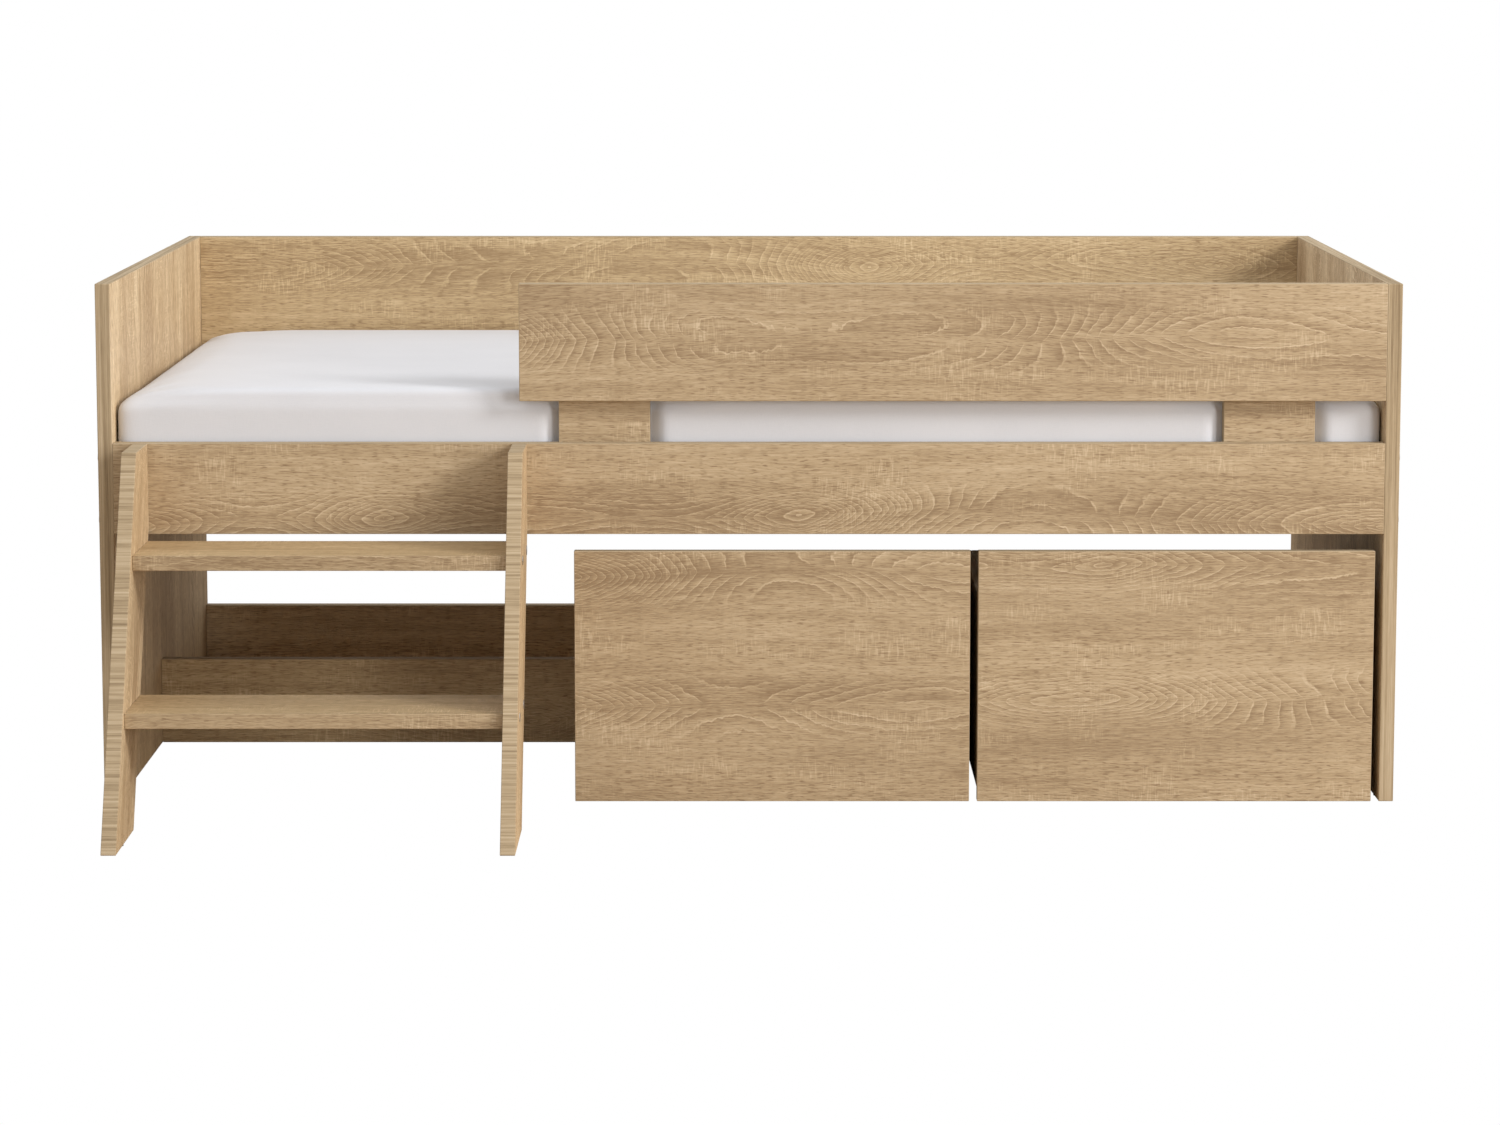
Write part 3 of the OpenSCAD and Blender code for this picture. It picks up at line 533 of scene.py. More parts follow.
def fan_directions(outline):
    """Centres and directions of the corner circles of a convex outline, turning left.

    A corner's circle touches both its edges: centre = corner - radius * (n0 + n1) / (1 + n0.n1),
    where n0 and n1 point out of the edges before and after it. The directions turn evenly
    from n0 to n1.
    """
    edge = np.roll(outline, -1, axis=0) - outline
    edge /= np.linalg.norm(edge, axis=1, keepdims=True)
    after = np.stack([edge[:, 1], -edge[:, 0]], axis=1)
    before = np.roll(after, 1, axis=0)
    cosine = (before * after).sum(axis=1, keepdims=True)
    centre = outline - CORNER_RADIUS * (before + after) / (1.0 + cosine)
    start = np.arctan2(before[:, 1], before[:, 0])
    turn = np.arccos(np.clip(cosine[:, 0], -1.0, 1.0))
    angle = start[:, None] + turn[:, None] * np.linspace(0.0, 1.0, FAN)
    direction = np.stack([np.cos(angle), np.sin(angle)], axis=-1)
    return np.repeat(centre, FAN, axis=0), direction.reshape(-1, 2)


def arris_profile(thick):
    """Inset and height of each row: a quarter circle in, the flat edge, a quarter circle out.

    inset = radius * (1 - sin t) and height = radius * (1 - cos t) for t from 0 to 90 degrees.
    """
    t = np.linspace(0.0, math.pi / 2, ARRIS_STEPS)
    inset = ARRIS_RADIUS * (1.0 - np.sin(t))
    height = ARRIS_RADIUS * (1.0 - np.cos(t))
    return np.concatenate([inset, inset[::-1]]), np.concatenate([height, thick - height[::-1]])


def board_grid(outline, thick):
    """Points (rows, columns, 3) of a board, in its own directions along, across and through.

    point = centre of the corner's circle + (corner radius - inset) * direction, at the height.
    """
    centre, direction = fan_directions(outline)
    inset, height = arris_profile(thick)
    reach = (CORNER_RADIUS - inset)[:, None, None]
    flat = centre[None] + reach * direction[None]
    through = np.broadcast_to(height[:, None, None], flat.shape[:2] + (1,))
    return np.concatenate([flat, through], axis=2)


def board_faces(rows, columns):
    """Quads between neighbouring rows and columns, going round, then both flat faces."""
    index = np.arange(rows * columns).reshape(rows, columns)
    right = np.roll(index, -1, axis=1)
    quads = np.stack([index[:-1], right[:-1], right[1:], index[1:]], axis=-1).reshape(-1, 4)
    return quads.tolist() + [index[0, ::-1].tolist(), index[-1].tolist()]


print("a board has", 2 * ARRIS_STEPS, "rows of", 4 * FAN, "points")

# %% [markdown]
# The print needs to know where on the sheet a board was cut. Unwrapping each board by hand would
# do, but the grid already knows the way along, across and round, in metres, so its map is worked
# out from it. The near face and the edge are shifted on, so that they don't mirror the far face.

# %% Map of a board
EDGE_SHIFT = (0.61, 0.07)
NEAR_SHIFT = (2.9, 0.13)


def board_map(grid, shift, edge_across):
    """The map of every face corner in metres, u along the grain, in the order of the faces.

    The flat faces take along and across as they are. The edge takes the way round the outline
    and the height, or the other way round for a band whose grain lies across.
    """
    rows, columns = grid.shape[:2]
    full = grid[ARRIS_STEPS - 1, :, :2]
    step = np.linalg.norm(np.diff(full, axis=0, append=full[:1]), axis=1)
    way = np.concatenate([[0.0], np.cumsum(step)])
    left, right = way[:-1], way[1:]
    low, high = grid[:-1, :1, 2], grid[1:, :1, 2]
    along = np.stack(np.broadcast_arrays(left, right, right, left), axis=-1)
    along = np.broadcast_to(along, (rows - 1, columns, 4))
    height = np.broadcast_arrays(low, low, high, high)
    height = np.broadcast_to(np.stack(height, axis=-1), (rows - 1, columns, 4))
    pair = (height, along) if edge_across else (along, height)
    edge = np.stack(pair, axis=-1).reshape(-1, 2) + np.array(shift) + EDGE_SHIFT
    near = grid[0, ::-1, :2] + np.array(shift) + NEAR_SHIFT
    far = grid[-1, :, :2] + np.array(shift)
    return np.concatenate([edge, near, far])


print("edge and near face are shifted by", EDGE_SHIFT, "and", NEAR_SHIFT, "m")

# %% [markdown]
# Now the grid becomes a Blender mesh: points, faces, map, materials and shading are handed over
# as whole arrays, which is quicker than point by point and leaves no loop to get wrong. The
# object stays at the origin, and its place is in its mesh.


# %% Mesh of a board
def put_in_room(name, grid, axes, uv, materials):
    """Makes the mesh: point = along * axes[0] + across * axes[1] + through * axes[2].

    The first material is for the two flat faces, which come last, and the second for the edge.
    The long quads of the edge between two corners are shaded flat, the rounded ones smooth.
    """
    rows, columns = grid.shape[:2]
    points = grid.reshape(-1, 3) @ axes
    faces = board_faces(rows, columns)
    mesh = bpy.data.meshes.new(name)
    mesh.from_pydata(points.tolist(), [], faces)
    mesh.uv_layers.new(name="grain").data.foreach_set("uv", uv.ravel())
    banded = np.ones(len(faces), dtype=np.int32)
    banded[-2:] = 0
    mesh.polygons.foreach_set("material_index", banded)
    smooth = np.ones((rows - 1, columns), dtype=bool)
    smooth[ARRIS_STEPS - 1, FAN - 1 :: FAN] = False
    smooth = np.concatenate([smooth.ravel(), [False, False]])
    mesh.polygons.foreach_set("use_smooth", smooth)
    for material in materials:
        mesh.materials.append(material)
    piece = bpy.data.objects.new(name, mesh)
    bpy.context.scene.collection.objects.link(piece)
    return piece


print("a board has one material for its flat faces and one for its edge")

# %% [markdown]
# A joiner describes a board by a flat face, its thickness and the way of its grain, and so do
# these helpers. The face's corners lie where the CAD solid has them, so the dressed board can't
# stand anywhere else, and then it replaces that solid.

# %% From a face to a board
AXES = {"x": 0, "y": 1, "z": 2}


def board_axes(through, grain):
    """Unit directions along the grain, across and through: across = through x along."""
    inward = np.array(through) / np.linalg.norm(through)
    along = np.array(grain, dtype=float)
    along /= np.linalg.norm(along)
    return np.stack([along, np.cross(inward, along), inward])


def turning_left(outline):
    """The outline, turned round if it runs to the right: area = sum of x0 * y1 - y0 * x1."""
    turned = np.roll(outline, -1, axis=0)
    area = (outline[:, 0] * turned[:, 1] - outline[:, 1] * turned[:, 0]).sum()
    return outline[::-1] if area < 0 else outline


def make_board(node, body, corners, through, grain, **finish):
    """Replaces a CAD board by a swept outline.

    corners are those of its face on the side away from `through`, which is the thickness as a
    vector. A corner's place on the board is its product with each of the board's directions.
    """
    axes = board_axes(through, grain)
    local = np.array(corners) @ axes.T
    grid = board_grid(turning_left(local[:, :2]), np.linalg.norm(through))
    grid[:, :, 2] += local[0, 2]
    shift = finish.get("shift", (0.0, 0.0))
    uv = board_map(grid, shift, finish.get("edge_across", False))
    materials = finish.get("materials", (oak_face, oak_edge))
    piece = put_in_room(f"{node}_board", grid, axes, uv, materials)
    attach(piece, body)
    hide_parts(node)


def box_board(node, body, grain, **finish):
    """A square-cut board that fills its CAD box, with its grain along x, y or z."""
    low, high = (np.array(corner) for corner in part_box(node))
    size = high - low
    thin = int(np.argmin(size))
    first, second = (axis for axis in range(3) if axis != thin)
    corners = np.repeat(low[None], 4, axis=0)
    corners[[1, 2], first] = high[first]
    corners[[2, 3], second] = high[second]
    through = np.zeros(3)
    through[thin] = size[thin]
    direction = np.zeros(3)
    direction[AXES[grain]] = 1.0
    make_board(node, body, corners, through, direction, **finish)


print("board helpers ready")

# %% [markdown]
# The bed's frame is eleven boards. On the end panels the print runs upright, and everywhere else
# along the bed. The end panels and the rear stretcher get the paler, livelier foil, whose lighter
# colour is painted light on the panels and painted light in the shade under the bed. The back
# panel and the drawers' stop get the more golden foil, whose warmer colour is painted warm bounced
# light in their shade. Each board is cut from another place of the print, which the shift says in
# metres, so that no two of them show the same figure.

# %% Frame boards
FRAME_BOARDS = {
    "end_panel_left": ("z", (0.0, 0.35)),
    "end_panel_right": ("z", (1.7, 2.75)),
    "side_rail": ("x", (2.5, 3.806)),
    "guard_rail": ("x", (-0.805, 2.283)),
    "guard_support_left": ("x", (10.9, 3.05)),
    "guard_support_right": ("x", (11.4, 4.07)),
    "back_panel": ("x", (2.308, 3.115)),
    "rear_stretcher": ("x", (17.1, 6.15)),
    "drawer_stop_stretcher": ("x", (20.3, 7.42)),
    "front_ledge": ("x", (23.5, 8.36)),
    "rear_ledge": ("x", (26.2, 9.71)),
}
# Boards whose foil carries painted light: pale for extra light, golden for warm bounced light.
PAINTED_LIGHT_FOILS = {
    "end_panel_left": pale_painted_light_face,
    "end_panel_right": pale_painted_light_face,
    "rear_stretcher": pale_painted_light_face,
    "drawer_stop_stretcher": golden_painted_light_face,
    "back_panel": golden_painted_light_face,
}
for node, (grain, shift) in FRAME_BOARDS.items():
    face = PAINTED_LIGHT_FOILS.get(node, oak_face)
    box_board(node, "frame", grain, shift=shift, materials=(face, oak_edge))
print("frame boards:", len(FRAME_BOARDS))

# %% [markdown]
# Twelve pine slats lie across the bed on the two ledges. They are real softwood, paler and
# smoother than the print, and they are cut the same way.

# %% Slats
SLATS = 12
CUT_STEP = (1.37, 0.29)
for number in range(1, SLATS + 1):
    place = (CUT_STEP[0] * number, CUT_STEP[1] * number)
    box_board(f"slat_{number}", "frame", "y", shift=place, materials=(pine, pine), slot="pine")
print("slats:", SLATS)

# %% [markdown]
# The ladder leans against the side rail. Its sides are five-cornered: upright where they meet
# the rail, level at the top and on the floor. The print runs along the slope, while the band on
# the front edge was cut from the sheet's end, so its stripes lie across. The sides have the pale
# foil, which paints extra light on them, the treads the golden one, which paints extra warm light
# on their tops, and the treads' edges show the foil wrapped round them.

# %% Ladder
FRONT_PLANE = -0.3055
SIDE_OUTLINE = ((0.0, 0.553), (-0.105, 0.553), (-0.349, 0.004), (-0.189, 0.004), (0.0, 0.429))
SLOPE = (0.0, 0.244, 0.549)
TREADS = {"tread_upper": (34.6, 12.8), "tread_lower": (37.2, 13.5)}


def ladder_side(node, shift):
    """A leaning side: its outline in depth and height, at the CAD board's place."""
    low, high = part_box(node)
    corners = [(low[0], FRONT_PLANE + depth, height) for depth, height in SIDE_OUTLINE]
    through = (high[0] - low[0], 0.0, 0.0)
    # The pale foil paints extra light on the sides.
    finish = {"materials": (pale_painted_light_face, oak_edge), "shift": shift, "edge_across": True}
    make_board(node, "frame", corners, through, SLOPE, **finish)


ladder_side("ladder_side_left", (29.4, 10.6))
ladder_side("ladder_side_right", (31.8, 11.9))
# The golden foil paints extra warm light on the treads' tops.
for node, shift in TREADS.items():
    box_board(node, "frame", "x", shift=shift, materials=(golden_painted_light_face, oak_face))
print("ladder: 2 sides,", len(TREADS), "treads")

# %% [markdown]
# Each drawer is a box of four thin boards on a base, with a taller front. It rides on its own
# body, because it rolls out. The two fronts show different parts of the print.

# %% Drawers
DRAWER_BOARDS = {
    "front": ("x", (0.0, 0.0)),
    "side_left": ("y", (3.2, 0.9)),
    "side_right": ("y", (5.9, 1.7)),
    "back": ("x", (8.4, 2.6)),
    "base": ("x", (11.3, 3.8)),
}
DRAWER_PLACES = {"left_drawer": (-0.356, 2.52), "right_drawer": (-2.62, 1.34)}


def dress_drawer(body, place):
    """The five boards of one drawer, each cut from the print at place + its own offset."""
    for part, (grain, offset) in DRAWER_BOARDS.items():
        shift = (place[0] + offset[0], place[1] + offset[1])
        box_board(f"{body}_{part}", body, grain, shift=shift)


for body, place in DRAWER_PLACES.items():
    dress_drawer(body, place)
print("drawers:", len(DRAWER_PLACES), "with", len(DRAWER_BOARDS), "boards each")

# %% [markdown]
# Metal and plastic parts keep their CAD shape. What they need is a surface: a zinc skin is
# mottled, a bolt head is turned and slightly scratched, moulded plastic has a fine orange peel.
# A plain colour would look like clay, so noise moves both colour and gloss a little. It is read
# in the part's own coordinates, because these parts have no map. Each finish is its colours,
# metallic or not, roughness, bumps a metre and depth in metres.

# %% Finishes for hardware
STEEL_COLOURS = ((0.42, 0.42, 0.44), (0.56, 0.56, 0.58), (0.68, 0.68, 0.70))
ZINC_COLOURS = ((0.44, 0.45, 0.46), (0.60, 0.61, 0.62), (0.75, 0.75, 0.74))
GREY_COLOURS = ((0.20, 0.20, 0.21), (0.27, 0.27, 0.28), (0.34, 0.34, 0.35))
BLACK_COLOURS = ((0.012, 0.012, 0.013), (0.022, 0.022, 0.023), (0.04, 0.04, 0.042))
NYLON_COLOURS = ((0.10, 0.10, 0.105), (0.16, 0.16, 0.165), (0.22, 0.22, 0.225))
BEECH_COLOURS = ((0.50, 0.31, 0.17), (0.62, 0.42, 0.25), (0.72, 0.53, 0.35))
TAPE_COLOURS = ((0.55, 0.53, 0.48), (0.72, 0.70, 0.65), (0.84, 0.82, 0.78))
FINISHES = {
    "bolt_steel": (STEEL_COLOURS, 1.0, 0.32, 700.0, 0.00002),
    "nut_zinc": (ZINC_COLOURS, 1.0, 0.42, 420.0, 0.00003),
    "screw_zinc": (ZINC_COLOURS, 1.0, 0.36, 900.0, 0.00002),
    "castor_grey": (GREY_COLOURS, 0.0, 0.45, 600.0, 0.00004),
    "black_plastic": (BLACK_COLOURS, 0.0, 0.5, 900.0, 0.00004),
    "wheel_nylon": (NYLON_COLOURS, 0.0, 0.38, 800.0, 0.00003),
    "beech": (BEECH_COLOURS, 0.0, 0.6, 300.0, 0.00005),
    "webbing": (TAPE_COLOURS, 0.0, 0.85, 1500.0, 0.0001),
}
SPOT_GLOSS = 0.22


def solid_noise(tree, bumps, layers, strength):
    """Noise in the part's own coordinates, with so many bumps a metre along x, y and z."""
    place = add(tree, "TexCoord").outputs["Object"]
    mapping = add(tree, "Mapping", {"Vector": place, "Scale": bumps})
    return noise(tree, mapping.outputs[0], layers, strength, "3D")


def skin(name, colours, metallic, roughness, bumps, depth):
    """Mottled metal or plastic: roughness + (spots - 0.5) * SPOT_GLOSS, and spots as the tone."""
    material, tree, shader = new_material(name)
    spots = solid_noise(tree, (bumps, bumps, bumps), layers=3.0, strength=0.6)
    tree.links.new(tone_colour(tree, spots, colours), shader.inputs["Base Color"])
    gloss = calc(tree, "MULTIPLY_ADD", spots, SPOT_GLOSS, roughness - SPOT_GLOSS / 2)
    tree.links.new(gloss, shader.inputs["Roughness"])
    shader.inputs["Metallic"].default_value = metallic
    bump(tree, shader, spots, depth)
    return material


skins = {name: skin(name, *facts) for name, facts in FINISHES.items()}
print("finishes:", ", ".join(skins))

# %% [markdown]
# Each kind of hardware now gets its finish: bolts and axles are steel, nuts and screws zinc,
# dowels beech, the castors grey frames with nylon wheels. The CAD parts already have their
# places for a material, so only what fills them changes.

# %% Hardware
HARDWARE = {
    "frame_bolts": "bolt_steel",
    "barrel_nuts": "nut_zinc",
    "wood_screws": "screw_zinc",
    "frame_dowels": "beech",
    "floor_glides": "black_plastic",
    "slat_tapes": "webbing",
}
for body in DRAWER_PLACES:
    HARDWARE[f"{body}_dowels"] = "beech"
    HARDWARE[f"{body}_castor_frames"] = "castor_grey"
    HARDWARE[f"{body}_castor_axles"] = "bolt_steel"
    HARDWARE[f"{body}_castor_screws"] = "screw_zinc"
    for corner in ("front_left", "front_right", "rear_left", "rear_right"):
        HARDWARE[f"{body}_wheel_{corner}"] = "wheel_nylon"
for node, finish in HARDWARE.items():
    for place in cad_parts[node].material_slots:
        place.material = skins[finish]
print("hardware parts finished:", len(HARDWARE))

# %% [markdown]
# The mattress is a soft block in a white fitted sheet. Its plan is a rectangle with round
# corners, its sides roll over into the top, and the two guard supports press a dent into its
# front. A subdivided cube would be too stiff at its corners, so a closed grid of that form is
# worked out first, a few millimetres smaller than its room. A cloth simulation then blows it up
# a little, as the filling does, so that the faces bulge between the corners. At last it is
# stretched to full length again and held inside the room between the boards.

# %% Levels of the mattress
MATTRESS_LOW, MATTRESS_HIGH = (np.array(corner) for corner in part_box("mattress"))
MATTRESS_EDGE_Z = 0.613
TOP_ROLL = 0.018
TOP_STEPS = 5
BOTTOM_ROLL = 0.016
BOTTOM_STEPS = 4
SIDE_STEPS = 9
SEAM_STEP = 0.006


def side_profile():
    """Inset and height of each level: a quarter circle, the upright side, a quarter circle.

    The bottom roll goes out as radius * (1 - sin t) and up as radius * (1 - cos t), and the top
    roll is the same upside down with its own radius. The levels lie closer below the top roll,
    where the sheet's groove will be.
    """
    low = MATTRESS_LOW[2]
    high = MATTRESS_EDGE_Z
    t = np.linspace(0.0, math.pi / 2, BOTTOM_STEPS)
    u = np.linspace(math.pi / 2, 0.0, TOP_STEPS)
    seam = high - TOP_ROLL
    straight = np.linspace(low + BOTTOM_ROLL, seam - 3 * SEAM_STEP, SIDE_STEPS)[1:]
    straight = np.concatenate([straight, [seam - 2 * SEAM_STEP, seam - SEAM_STEP]])
    inset = [BOTTOM_ROLL * (1 - np.sin(t)), 0 * straight, TOP_ROLL * (1 - np.sin(u))]
    height = [low + BOTTOM_ROLL * (1 - np.cos(t)), straight, high - TOP_ROLL * (1 - np.cos(u))]
    return np.concatenate(inset), np.concatenate(height)


print("mattress levels:", len(side_profile()[0]))

# %% [markdown]
# Seen from above the mattress has round corners. Cutting a circle into a grid leaves slivers
# that crease in the simulation, so its lines are bent into the corner instead. The levels and
# this plan make a lattice like a crate's. Only its outside is kept, and the six sides share the
# points of their common edges, so that the block is closed.

# %% Mattress form
GRID_STEP = 0.0125
PLAN_RADIUS = 0.024
START_SMALLER = 0.003
TINY = 1e-9


def rounded_plan(x, y, half, radius):
    """Moves a rectangle's corners onto circles.

    Outside the inner rectangle of half - radius, a point at (a, b) from it goes to the same
    direction at the distance max(|a|, |b|).
    """
    inner = np.stack(half, axis=-1) - radius[..., None]
    flat = np.stack([x, y], axis=-1)
    held = np.clip(flat, -inner, inner)
    away = flat - held
    length = np.linalg.norm(away, axis=-1)
    scale = np.abs(away).max(axis=-1) / np.maximum(length, TINY)
    return held + away * scale[..., None]


def mattress_grid():
    """Points and quads of the closed block: the outside of a lattice of columns and levels.

    x and y go evenly from -(half - inset) to half - inset, z is the level's height.
    """
    inset, height = side_profile()
    inset = inset + START_SMALLER
    half = (MATTRESS_HIGH[:2] - MATTRESS_LOW[:2]) / 2
    middle = (MATTRESS_HIGH[:2] + MATTRESS_LOW[:2]) / 2
    count = np.round(2 * half / GRID_STEP).astype(int)
    shape = (count[0] + 1, count[1] + 1, len(height))
    i, j, k = np.meshgrid(*(np.arange(n) for n in shape), indexing="ij")
    outside = (i == 0) | (i == count[0]) | (j == 0) | (j == count[1])
    outside |= (k == 0) | (k == shape[2] - 1)
    index = np.full(shape, -1)
    index[outside] = np.arange(outside.sum())
    i, j, k = i[outside], j[outside], k[outside]
    half_x = half[0] - inset[k]
    half_y = half[1] - inset[k]
    x = (2 * i / count[0] - 1) * half_x
    y = (2 * j / count[1] - 1) * half_y
    plan = rounded_plan(x, y, (half_x, half_y), PLAN_RADIUS - inset[k])
    points = np.stack([plan[:, 0] + middle[0], plan[:, 1] + middle[1], height[k]], axis=1)
    return points, lattice_quads(index)


def quads_of(sheet, flip):
    """Quads of one side of the lattice, turned to face outwards."""
    quads = np.stack([sheet[:-1, :-1], sheet[1:, :-1], sheet[1:, 1:], sheet[:-1, 1:]], axis=-1)
    quads = quads.reshape(-1, 4)
    return quads[:, ::-1] if flip else quads


def lattice_quads(index):
    """The six sides of the lattice: bottom, top, front, back, left, right."""
    sides = [
        quads_of(index[:, :, 0], True),
        quads_of(index[:, :, -1], False),
        quads_of(index[:, 0, :], False),
        quads_of(index[:, -1, :], True),
        quads_of(index[0, :, :], True),
        quads_of(index[-1, :, :], False),
    ]
    return np.concatenate(sides)


def make_mesh(name, points, quads):
    """A smooth mesh object from arrays of points and quads."""
    mesh = bpy.data.meshes.new(name)
    mesh.from_pydata(points.tolist(), [], quads.tolist())
    mesh.polygons.foreach_set("use_smooth", np.ones(len(quads), dtype=bool))
    piece = bpy.data.objects.new(name, mesh)
    bpy.context.scene.collection.objects.link(piece)
    return piece


start_points, mattress_quads = mattress_grid()
mattress = make_mesh("mattress_sheeted", start_points, mattress_quads)
print("mattress grid:", len(start_points), "points,", len(mattress_quads), "quads")

# %% [markdown]
# The bulge of a filled cover could be guessed with a formula, but a cloth simulation finds it:
# pressure pushes every face outwards and the cloth's own stiffness holds it back. It runs for
# twenty frames without gravity. Its result is read back as an array, each point's way is capped,
# and the cloth modifier is taken off again, so the piece is plain mesh afterwards.

# %% Blow up the mattress
PRESSURE = 4.0
CLOTH_QUALITY = 4
LAST_FRAME = 20
WAY_CAP = 0.006


def points_of(mesh):
    """All points of a mesh as an array of rows x, y, z."""
    values = np.empty(len(mesh.vertices) * 3)
    mesh.vertices.foreach_get("co", values)
    return values.reshape(-1, 3)


def inflate(piece):
    """Cloth with pressure: how far each point went, times WAY_CAP / length where it went more."""
    scene = bpy.context.scene
    cloth = piece.modifiers.new("filling", "CLOTH")
    cloth.settings.use_pressure = True
    cloth.settings.uniform_pressure_force = PRESSURE
    cloth.settings.effector_weights.gravity = 0.0
    cloth.settings.quality = CLOTH_QUALITY
    cloth.point_cache.frame_start = 1
    cloth.point_cache.frame_end = LAST_FRAME
    for number in range(1, LAST_FRAME + 1):
        scene.frame_set(number)
    graph = bpy.context.evaluated_depsgraph_get()
    moved = points_of(piece.evaluated_get(graph).data)
    piece.modifiers.remove(cloth)
    scene.frame_set(1)
    way = moved - points_of(piece.data)
    length = np.linalg.norm(way, axis=1, keepdims=True)
    return way * np.minimum(1.0, WAY_CAP / np.maximum(length, TINY))


way = inflate(mattress)
print("mattress grew by up to", round(float(np.linalg.norm(way, axis=1).max()) * 1000, 1), "mm")

# %% [markdown]
# Now the form gets what the simulation can't know. The top is crowned, and the sheet pulls small
# folds towards each corner. These are small and regular, so formulas on the whole array do
# better than sculpting. In them a and b go from -1 to 1 along and across the mattress, and away
# is how far a point lies from its ends and sides.

# %% Crown and folds
CROWN = 0.020
CROWN_POWER = 16
FULL_LIFT = 0.8
FOLD_DEPTH = 0.0022
FOLD_REACH = 0.16
FOLD_WAVES = 13.0


def smooth_step(t):
    """0 below 0, 1 above 1, and 3 t squared minus 2 t cubed in between."""
    t = np.clip(t, 0.0, 1.0)
    return t * t * (3.0 - 2.0 * t)


def crown_and_folds(points, a, b, away):
    """z + (CROWN * (1 - |a|^16) + folds) * lifted, where lifted goes from 0 to 1 with height.

    folds = depth * e^(-distance from the corner / reach) * sine of the angle at the corner.
    """
    middle = (MATTRESS_LOW[2] + MATTRESS_HIGH[2]) / 2
    half = (MATTRESS_HIGH[2] - MATTRESS_LOW[2]) / 2
    lifted = smooth_step((points[:, 2] - middle) / (half * FULL_LIFT))
    crown = CROWN * (1 - np.abs(a) ** CROWN_POWER) * lifted
    reach = np.hypot(away[:, 0], away[:, 1])
    angle = np.arctan2(away[:, 1], away[:, 0])
    folds = np.sin(angle * FOLD_WAVES + a + 2.0 * b)
    folds = FOLD_DEPTH * np.exp(-reach / FOLD_REACH) * folds
    points[:, 2] += crown + folds * lifted


print("crown:", CROWN * 1000, "mm, folds:", FOLD_DEPTH * 1000, "mm")

# %% [markdown]
# A border seam under the sheet leaves a soft groove along the top edge. At the guard supports
# that edge is pressed in, which shows as a soft dent beside the guard rail's end. Both are bells
# over the height, because a seam or a board's edge pushes cloth in most where it touches.

# %% Groove and dents
GROOVE_Z = 0.6165
GROOVE_DEPTH = 0.0042
GROOVE_WIDTH = 0.0060
GROOVE_START = 0.9
GROOVE_RAMP = 0.06
GROOVE_REACH = 0.05
SUPPORT_SPANS = ((-0.287, -0.149), (0.717, 0.855))
SUPPORT_MARGIN = 0.002
PRESS_DEPTH = 0.007
PRESS_REACH = 0.11
PRESS_HEIGHT = 0.012
PRESS_INWARD = 0.09


def bell(z, height, width):
    """e to the power of -((z - height) / width)^2: 1 at the height, 0 some widths away."""
    return np.exp(-(((z - height) / width) ** 2))


def near_support(x, ramp_length):
    """1 at a guard support, falling smoothly to 0 over the ramp's length beside it."""
    spans = [(left - SUPPORT_MARGIN, right + SUPPORT_MARGIN) for left, right in SUPPORT_SPANS]
    outside = [np.maximum(left - x, x - right) for left, right in spans]
    return 1.0 - smooth_step(np.minimum(*outside) / ramp_length)


def groove_and_dents(points, a, b, away):
    """Pulls the sides in by GROOVE_DEPTH * bell, and presses the front's edge in and down.

    pressed = PRESS_DEPTH * bell * nearness to a guard support * nearness to the front.
    """
    side = smooth_step((np.maximum(np.abs(a), np.abs(b)) - GROOVE_START) / GROOVE_RAMP)
    pull = GROOVE_DEPTH * bell(points[:, 2], GROOVE_Z, GROOVE_WIDTH) * side
    points[:, 0] -= pull * np.sign(a) * (np.abs(away[:, 0]) < GROOVE_REACH)
    points[:, 1] -= pull * np.sign(b) * (np.abs(away[:, 1]) < GROOVE_REACH)
    level = bell(points[:, 2], GROOVE_Z, PRESS_HEIGHT)
    front = (1.0 - smooth_step(away[:, 1] / PRESS_INWARD)) * (b < 0)
    pressed = PRESS_DEPTH * near_support(points[:, 0], PRESS_REACH) * level * front
    points[:, 1] += pressed
    points[:, 2] -= pressed


def shape_mattress(points):
    """middle + (point - middle) * half / farthest, which is the full size again, then the rest."""
    middle = (MATTRESS_LOW[:2] + MATTRESS_HIGH[:2]) / 2
    half = (MATTRESS_HIGH[:2] - MATTRESS_LOW[:2]) / 2
    flat = points[:, :2] - middle
    points[:, :2] = middle + flat * half / np.abs(flat).max(axis=0)
    a, b = ((points[:, :2] - middle) / half).T
    away = np.stack([1.0 - np.abs(a), 1.0 - np.abs(b)], axis=1) * half
    crown_and_folds(points, a, b, away)
    groove_and_dents(points, a, b, away)
    return points


shaped = shape_mattress(start_points + way)
print("shaped to", (shaped.max(axis=0) - shaped.min(axis=0)).round(4), "m")

# %% [markdown]
# A mattress gives way to the boards round it. Collisions in the simulation would do that too,
# but slowly and never to the last millimetre, so every point is simply held in the room that is
# there. The front stays behind the guard supports and slopes back out beside them.

# %% Hold the mattress in its room
SUPPORT_DEPTH = 0.0444
SUPPORT_FACE = FRONT_PLANE + SUPPORT_DEPTH
SUPPORT_RAMP = 0.014
FRONT_SOFTNESS = 0.12
CROWN_ROOM = 0.006


def front_limit(x):
    """The nearest the front may come: its own plane, or behind a support with soft ramps."""
    return MATTRESS_LOW[1] + near_support(x, SUPPORT_RAMP) * (SUPPORT_FACE - MATTRESS_LOW[1])


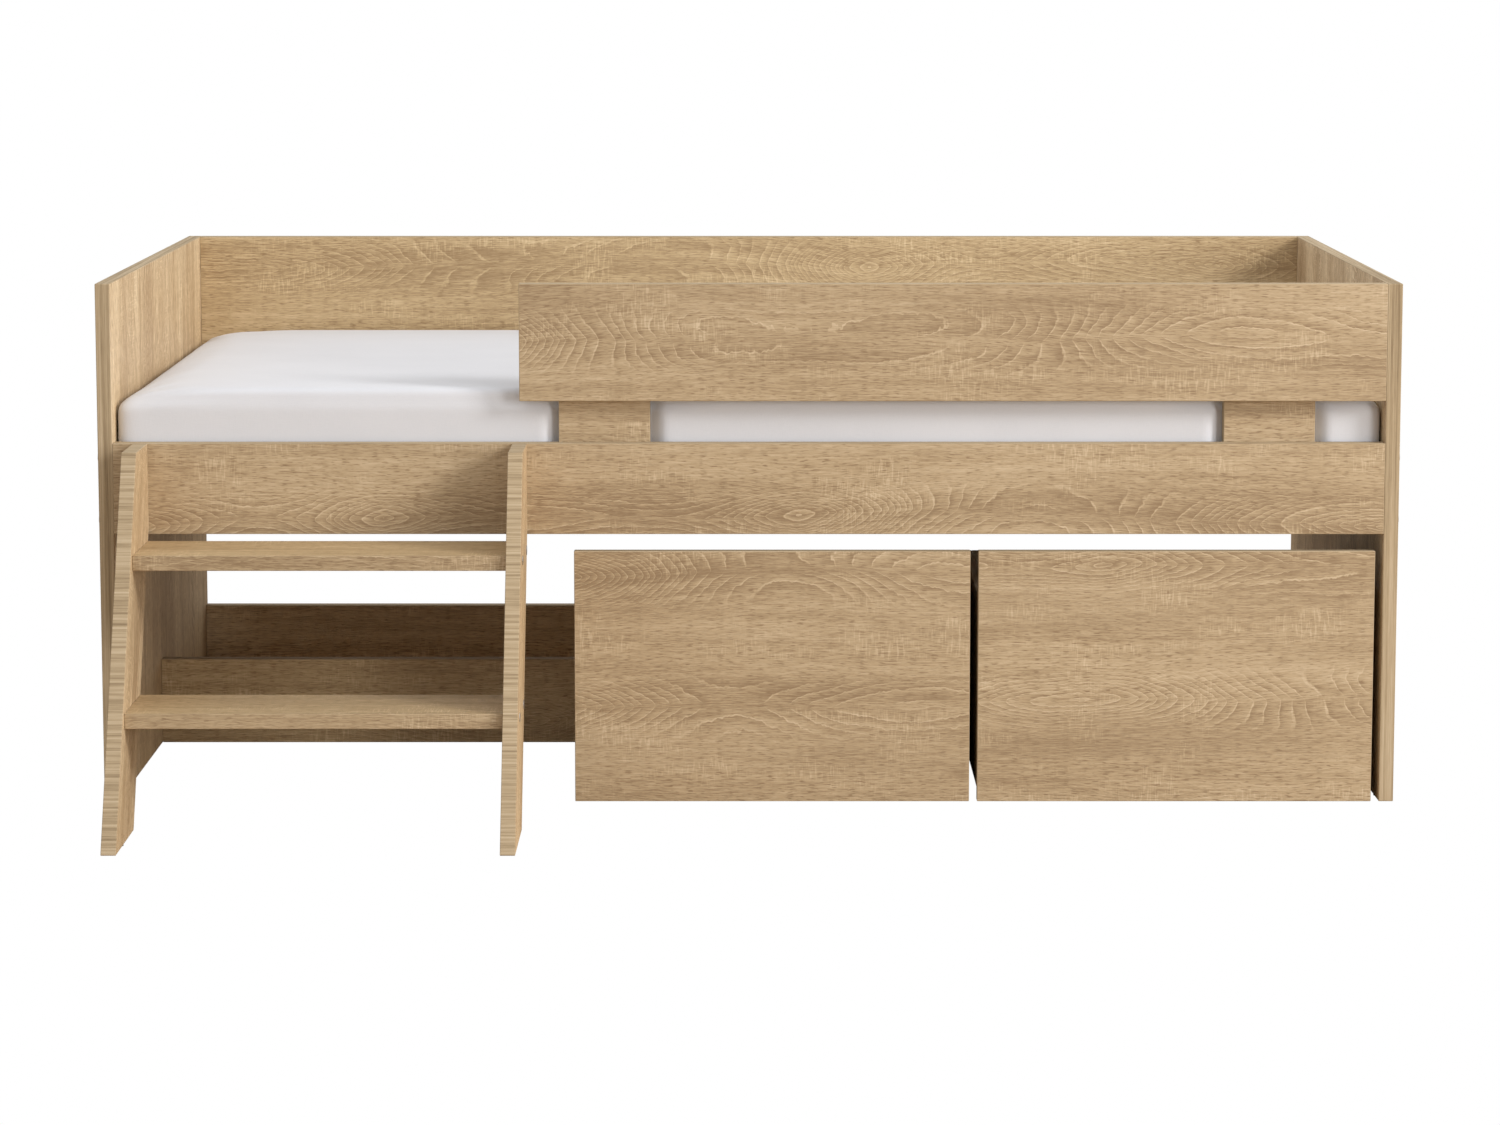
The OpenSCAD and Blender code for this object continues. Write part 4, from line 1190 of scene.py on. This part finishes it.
def hold_inside(points):
    """Clips x, y and z to the room, and moves the front back by the support's share.

    The share is 1 at the front and falls smoothly to 0 over FRONT_SOFTNESS behind it.
    """
    points[:, 0] = np.clip(points[:, 0], MATTRESS_LOW[0], MATTRESS_HIGH[0])
    points[:, 1] = np.minimum(points[:, 1], MATTRESS_HIGH[1])
    points[:, 2] = np.clip(points[:, 2], MATTRESS_LOW[2], MATTRESS_HIGH[2] + CROWN_ROOM)
    limit = front_limit(points[:, 0])
    inward = np.clip((points[:, 1] - MATTRESS_LOW[1]) / FRONT_SOFTNESS, 0.0, 1.0)
    points[:, 1] += (limit - MATTRESS_LOW[1]) * (1.0 - smooth_step(inward))
    points[:, 1] = np.maximum(points[:, 1], limit)
    return points


held_points = hold_inside(shaped)
mattress.data.vertices.foreach_set("co", held_points.ravel())
mattress.data.update()
print("mattress box:", held_points.min(axis=0).round(4), held_points.max(axis=0).round(4))

# %% [markdown]
# The sheet is white cotton. Close up it is a plain weave of threads that are never quite even,
# and its surface has a soft bloom at flat angles. A flat white would look like plaster, so three
# noises, each drawn out along x, y or z like a thread, are added, because the threads run
# upwards on the sides. A broad noise on top gives the shallow creases of a sheet in use, as
# bumps and as painted shade and light in the colour along them.

# %% Cotton sheet
COTTON_COLOURS = ((0.59, 0.592, 0.620), (0.665, 0.667, 0.697), (0.725, 0.728, 0.758))
ALONG_THREAD = 70.0
ACROSS_THREAD = 1400.0
CREASE_BUMPS = (7.0, 9.0, 9.0)
WEAVE_TONE = 0.22
# How far the crease noise darkens and lightens the colour: painted shade and light.
CREASE_PAINTED_SHADE = 0.35
CREASE_HEIGHT = 14.0
COTTON_RELIEF = 0.00006


def cotton():
    """White cotton: tone = weave * WEAVE_TONE + crease * CREASE_PAINTED_SHADE, and sheen."""
    material, tree, shader = new_material("cotton_sheet")
    threads = []
    for direction in range(3):
        bumps = [ACROSS_THREAD] * 3
        bumps[direction] = ALONG_THREAD
        threads.append(solid_noise(tree, bumps, layers=1.0, strength=0.5))
    weave = calc(tree, "ADD", calc(tree, "ADD", threads[0], threads[1]), threads[2])
    crease = solid_noise(tree, CREASE_BUMPS, layers=2.0, strength=0.5)
    # The creases' share of the tone is painted shade and light.
    painted_crease_shade = calc(tree, "MULTIPLY", crease, CREASE_PAINTED_SHADE)
    tone = calc(tree, "MULTIPLY_ADD", weave, WEAVE_TONE, painted_crease_shade)
    tree.links.new(tone_colour(tree, tone, COTTON_COLOURS), shader.inputs["Base Color"])
    shader.inputs["Roughness"].default_value = 0.85
    shader.inputs["Specular IOR Level"].default_value = 0.2
    shader.inputs["Sheen Weight"].default_value = 0.25
    shader.inputs["Sheen Roughness"].default_value = 0.5
    height = calc(tree, "MULTIPLY_ADD", crease, CREASE_HEIGHT, weave)
    bump(tree, shader, height, COTTON_RELIEF)
    return material


mattress.data.materials.append(cotton())
level = mattress.modifiers.new("smooth", "SUBSURF")
level.levels = 1
level.render_levels = 1
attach(mattress, "frame")
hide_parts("mattress")
print("mattress faces:", len(mattress.data.polygons) * 4)
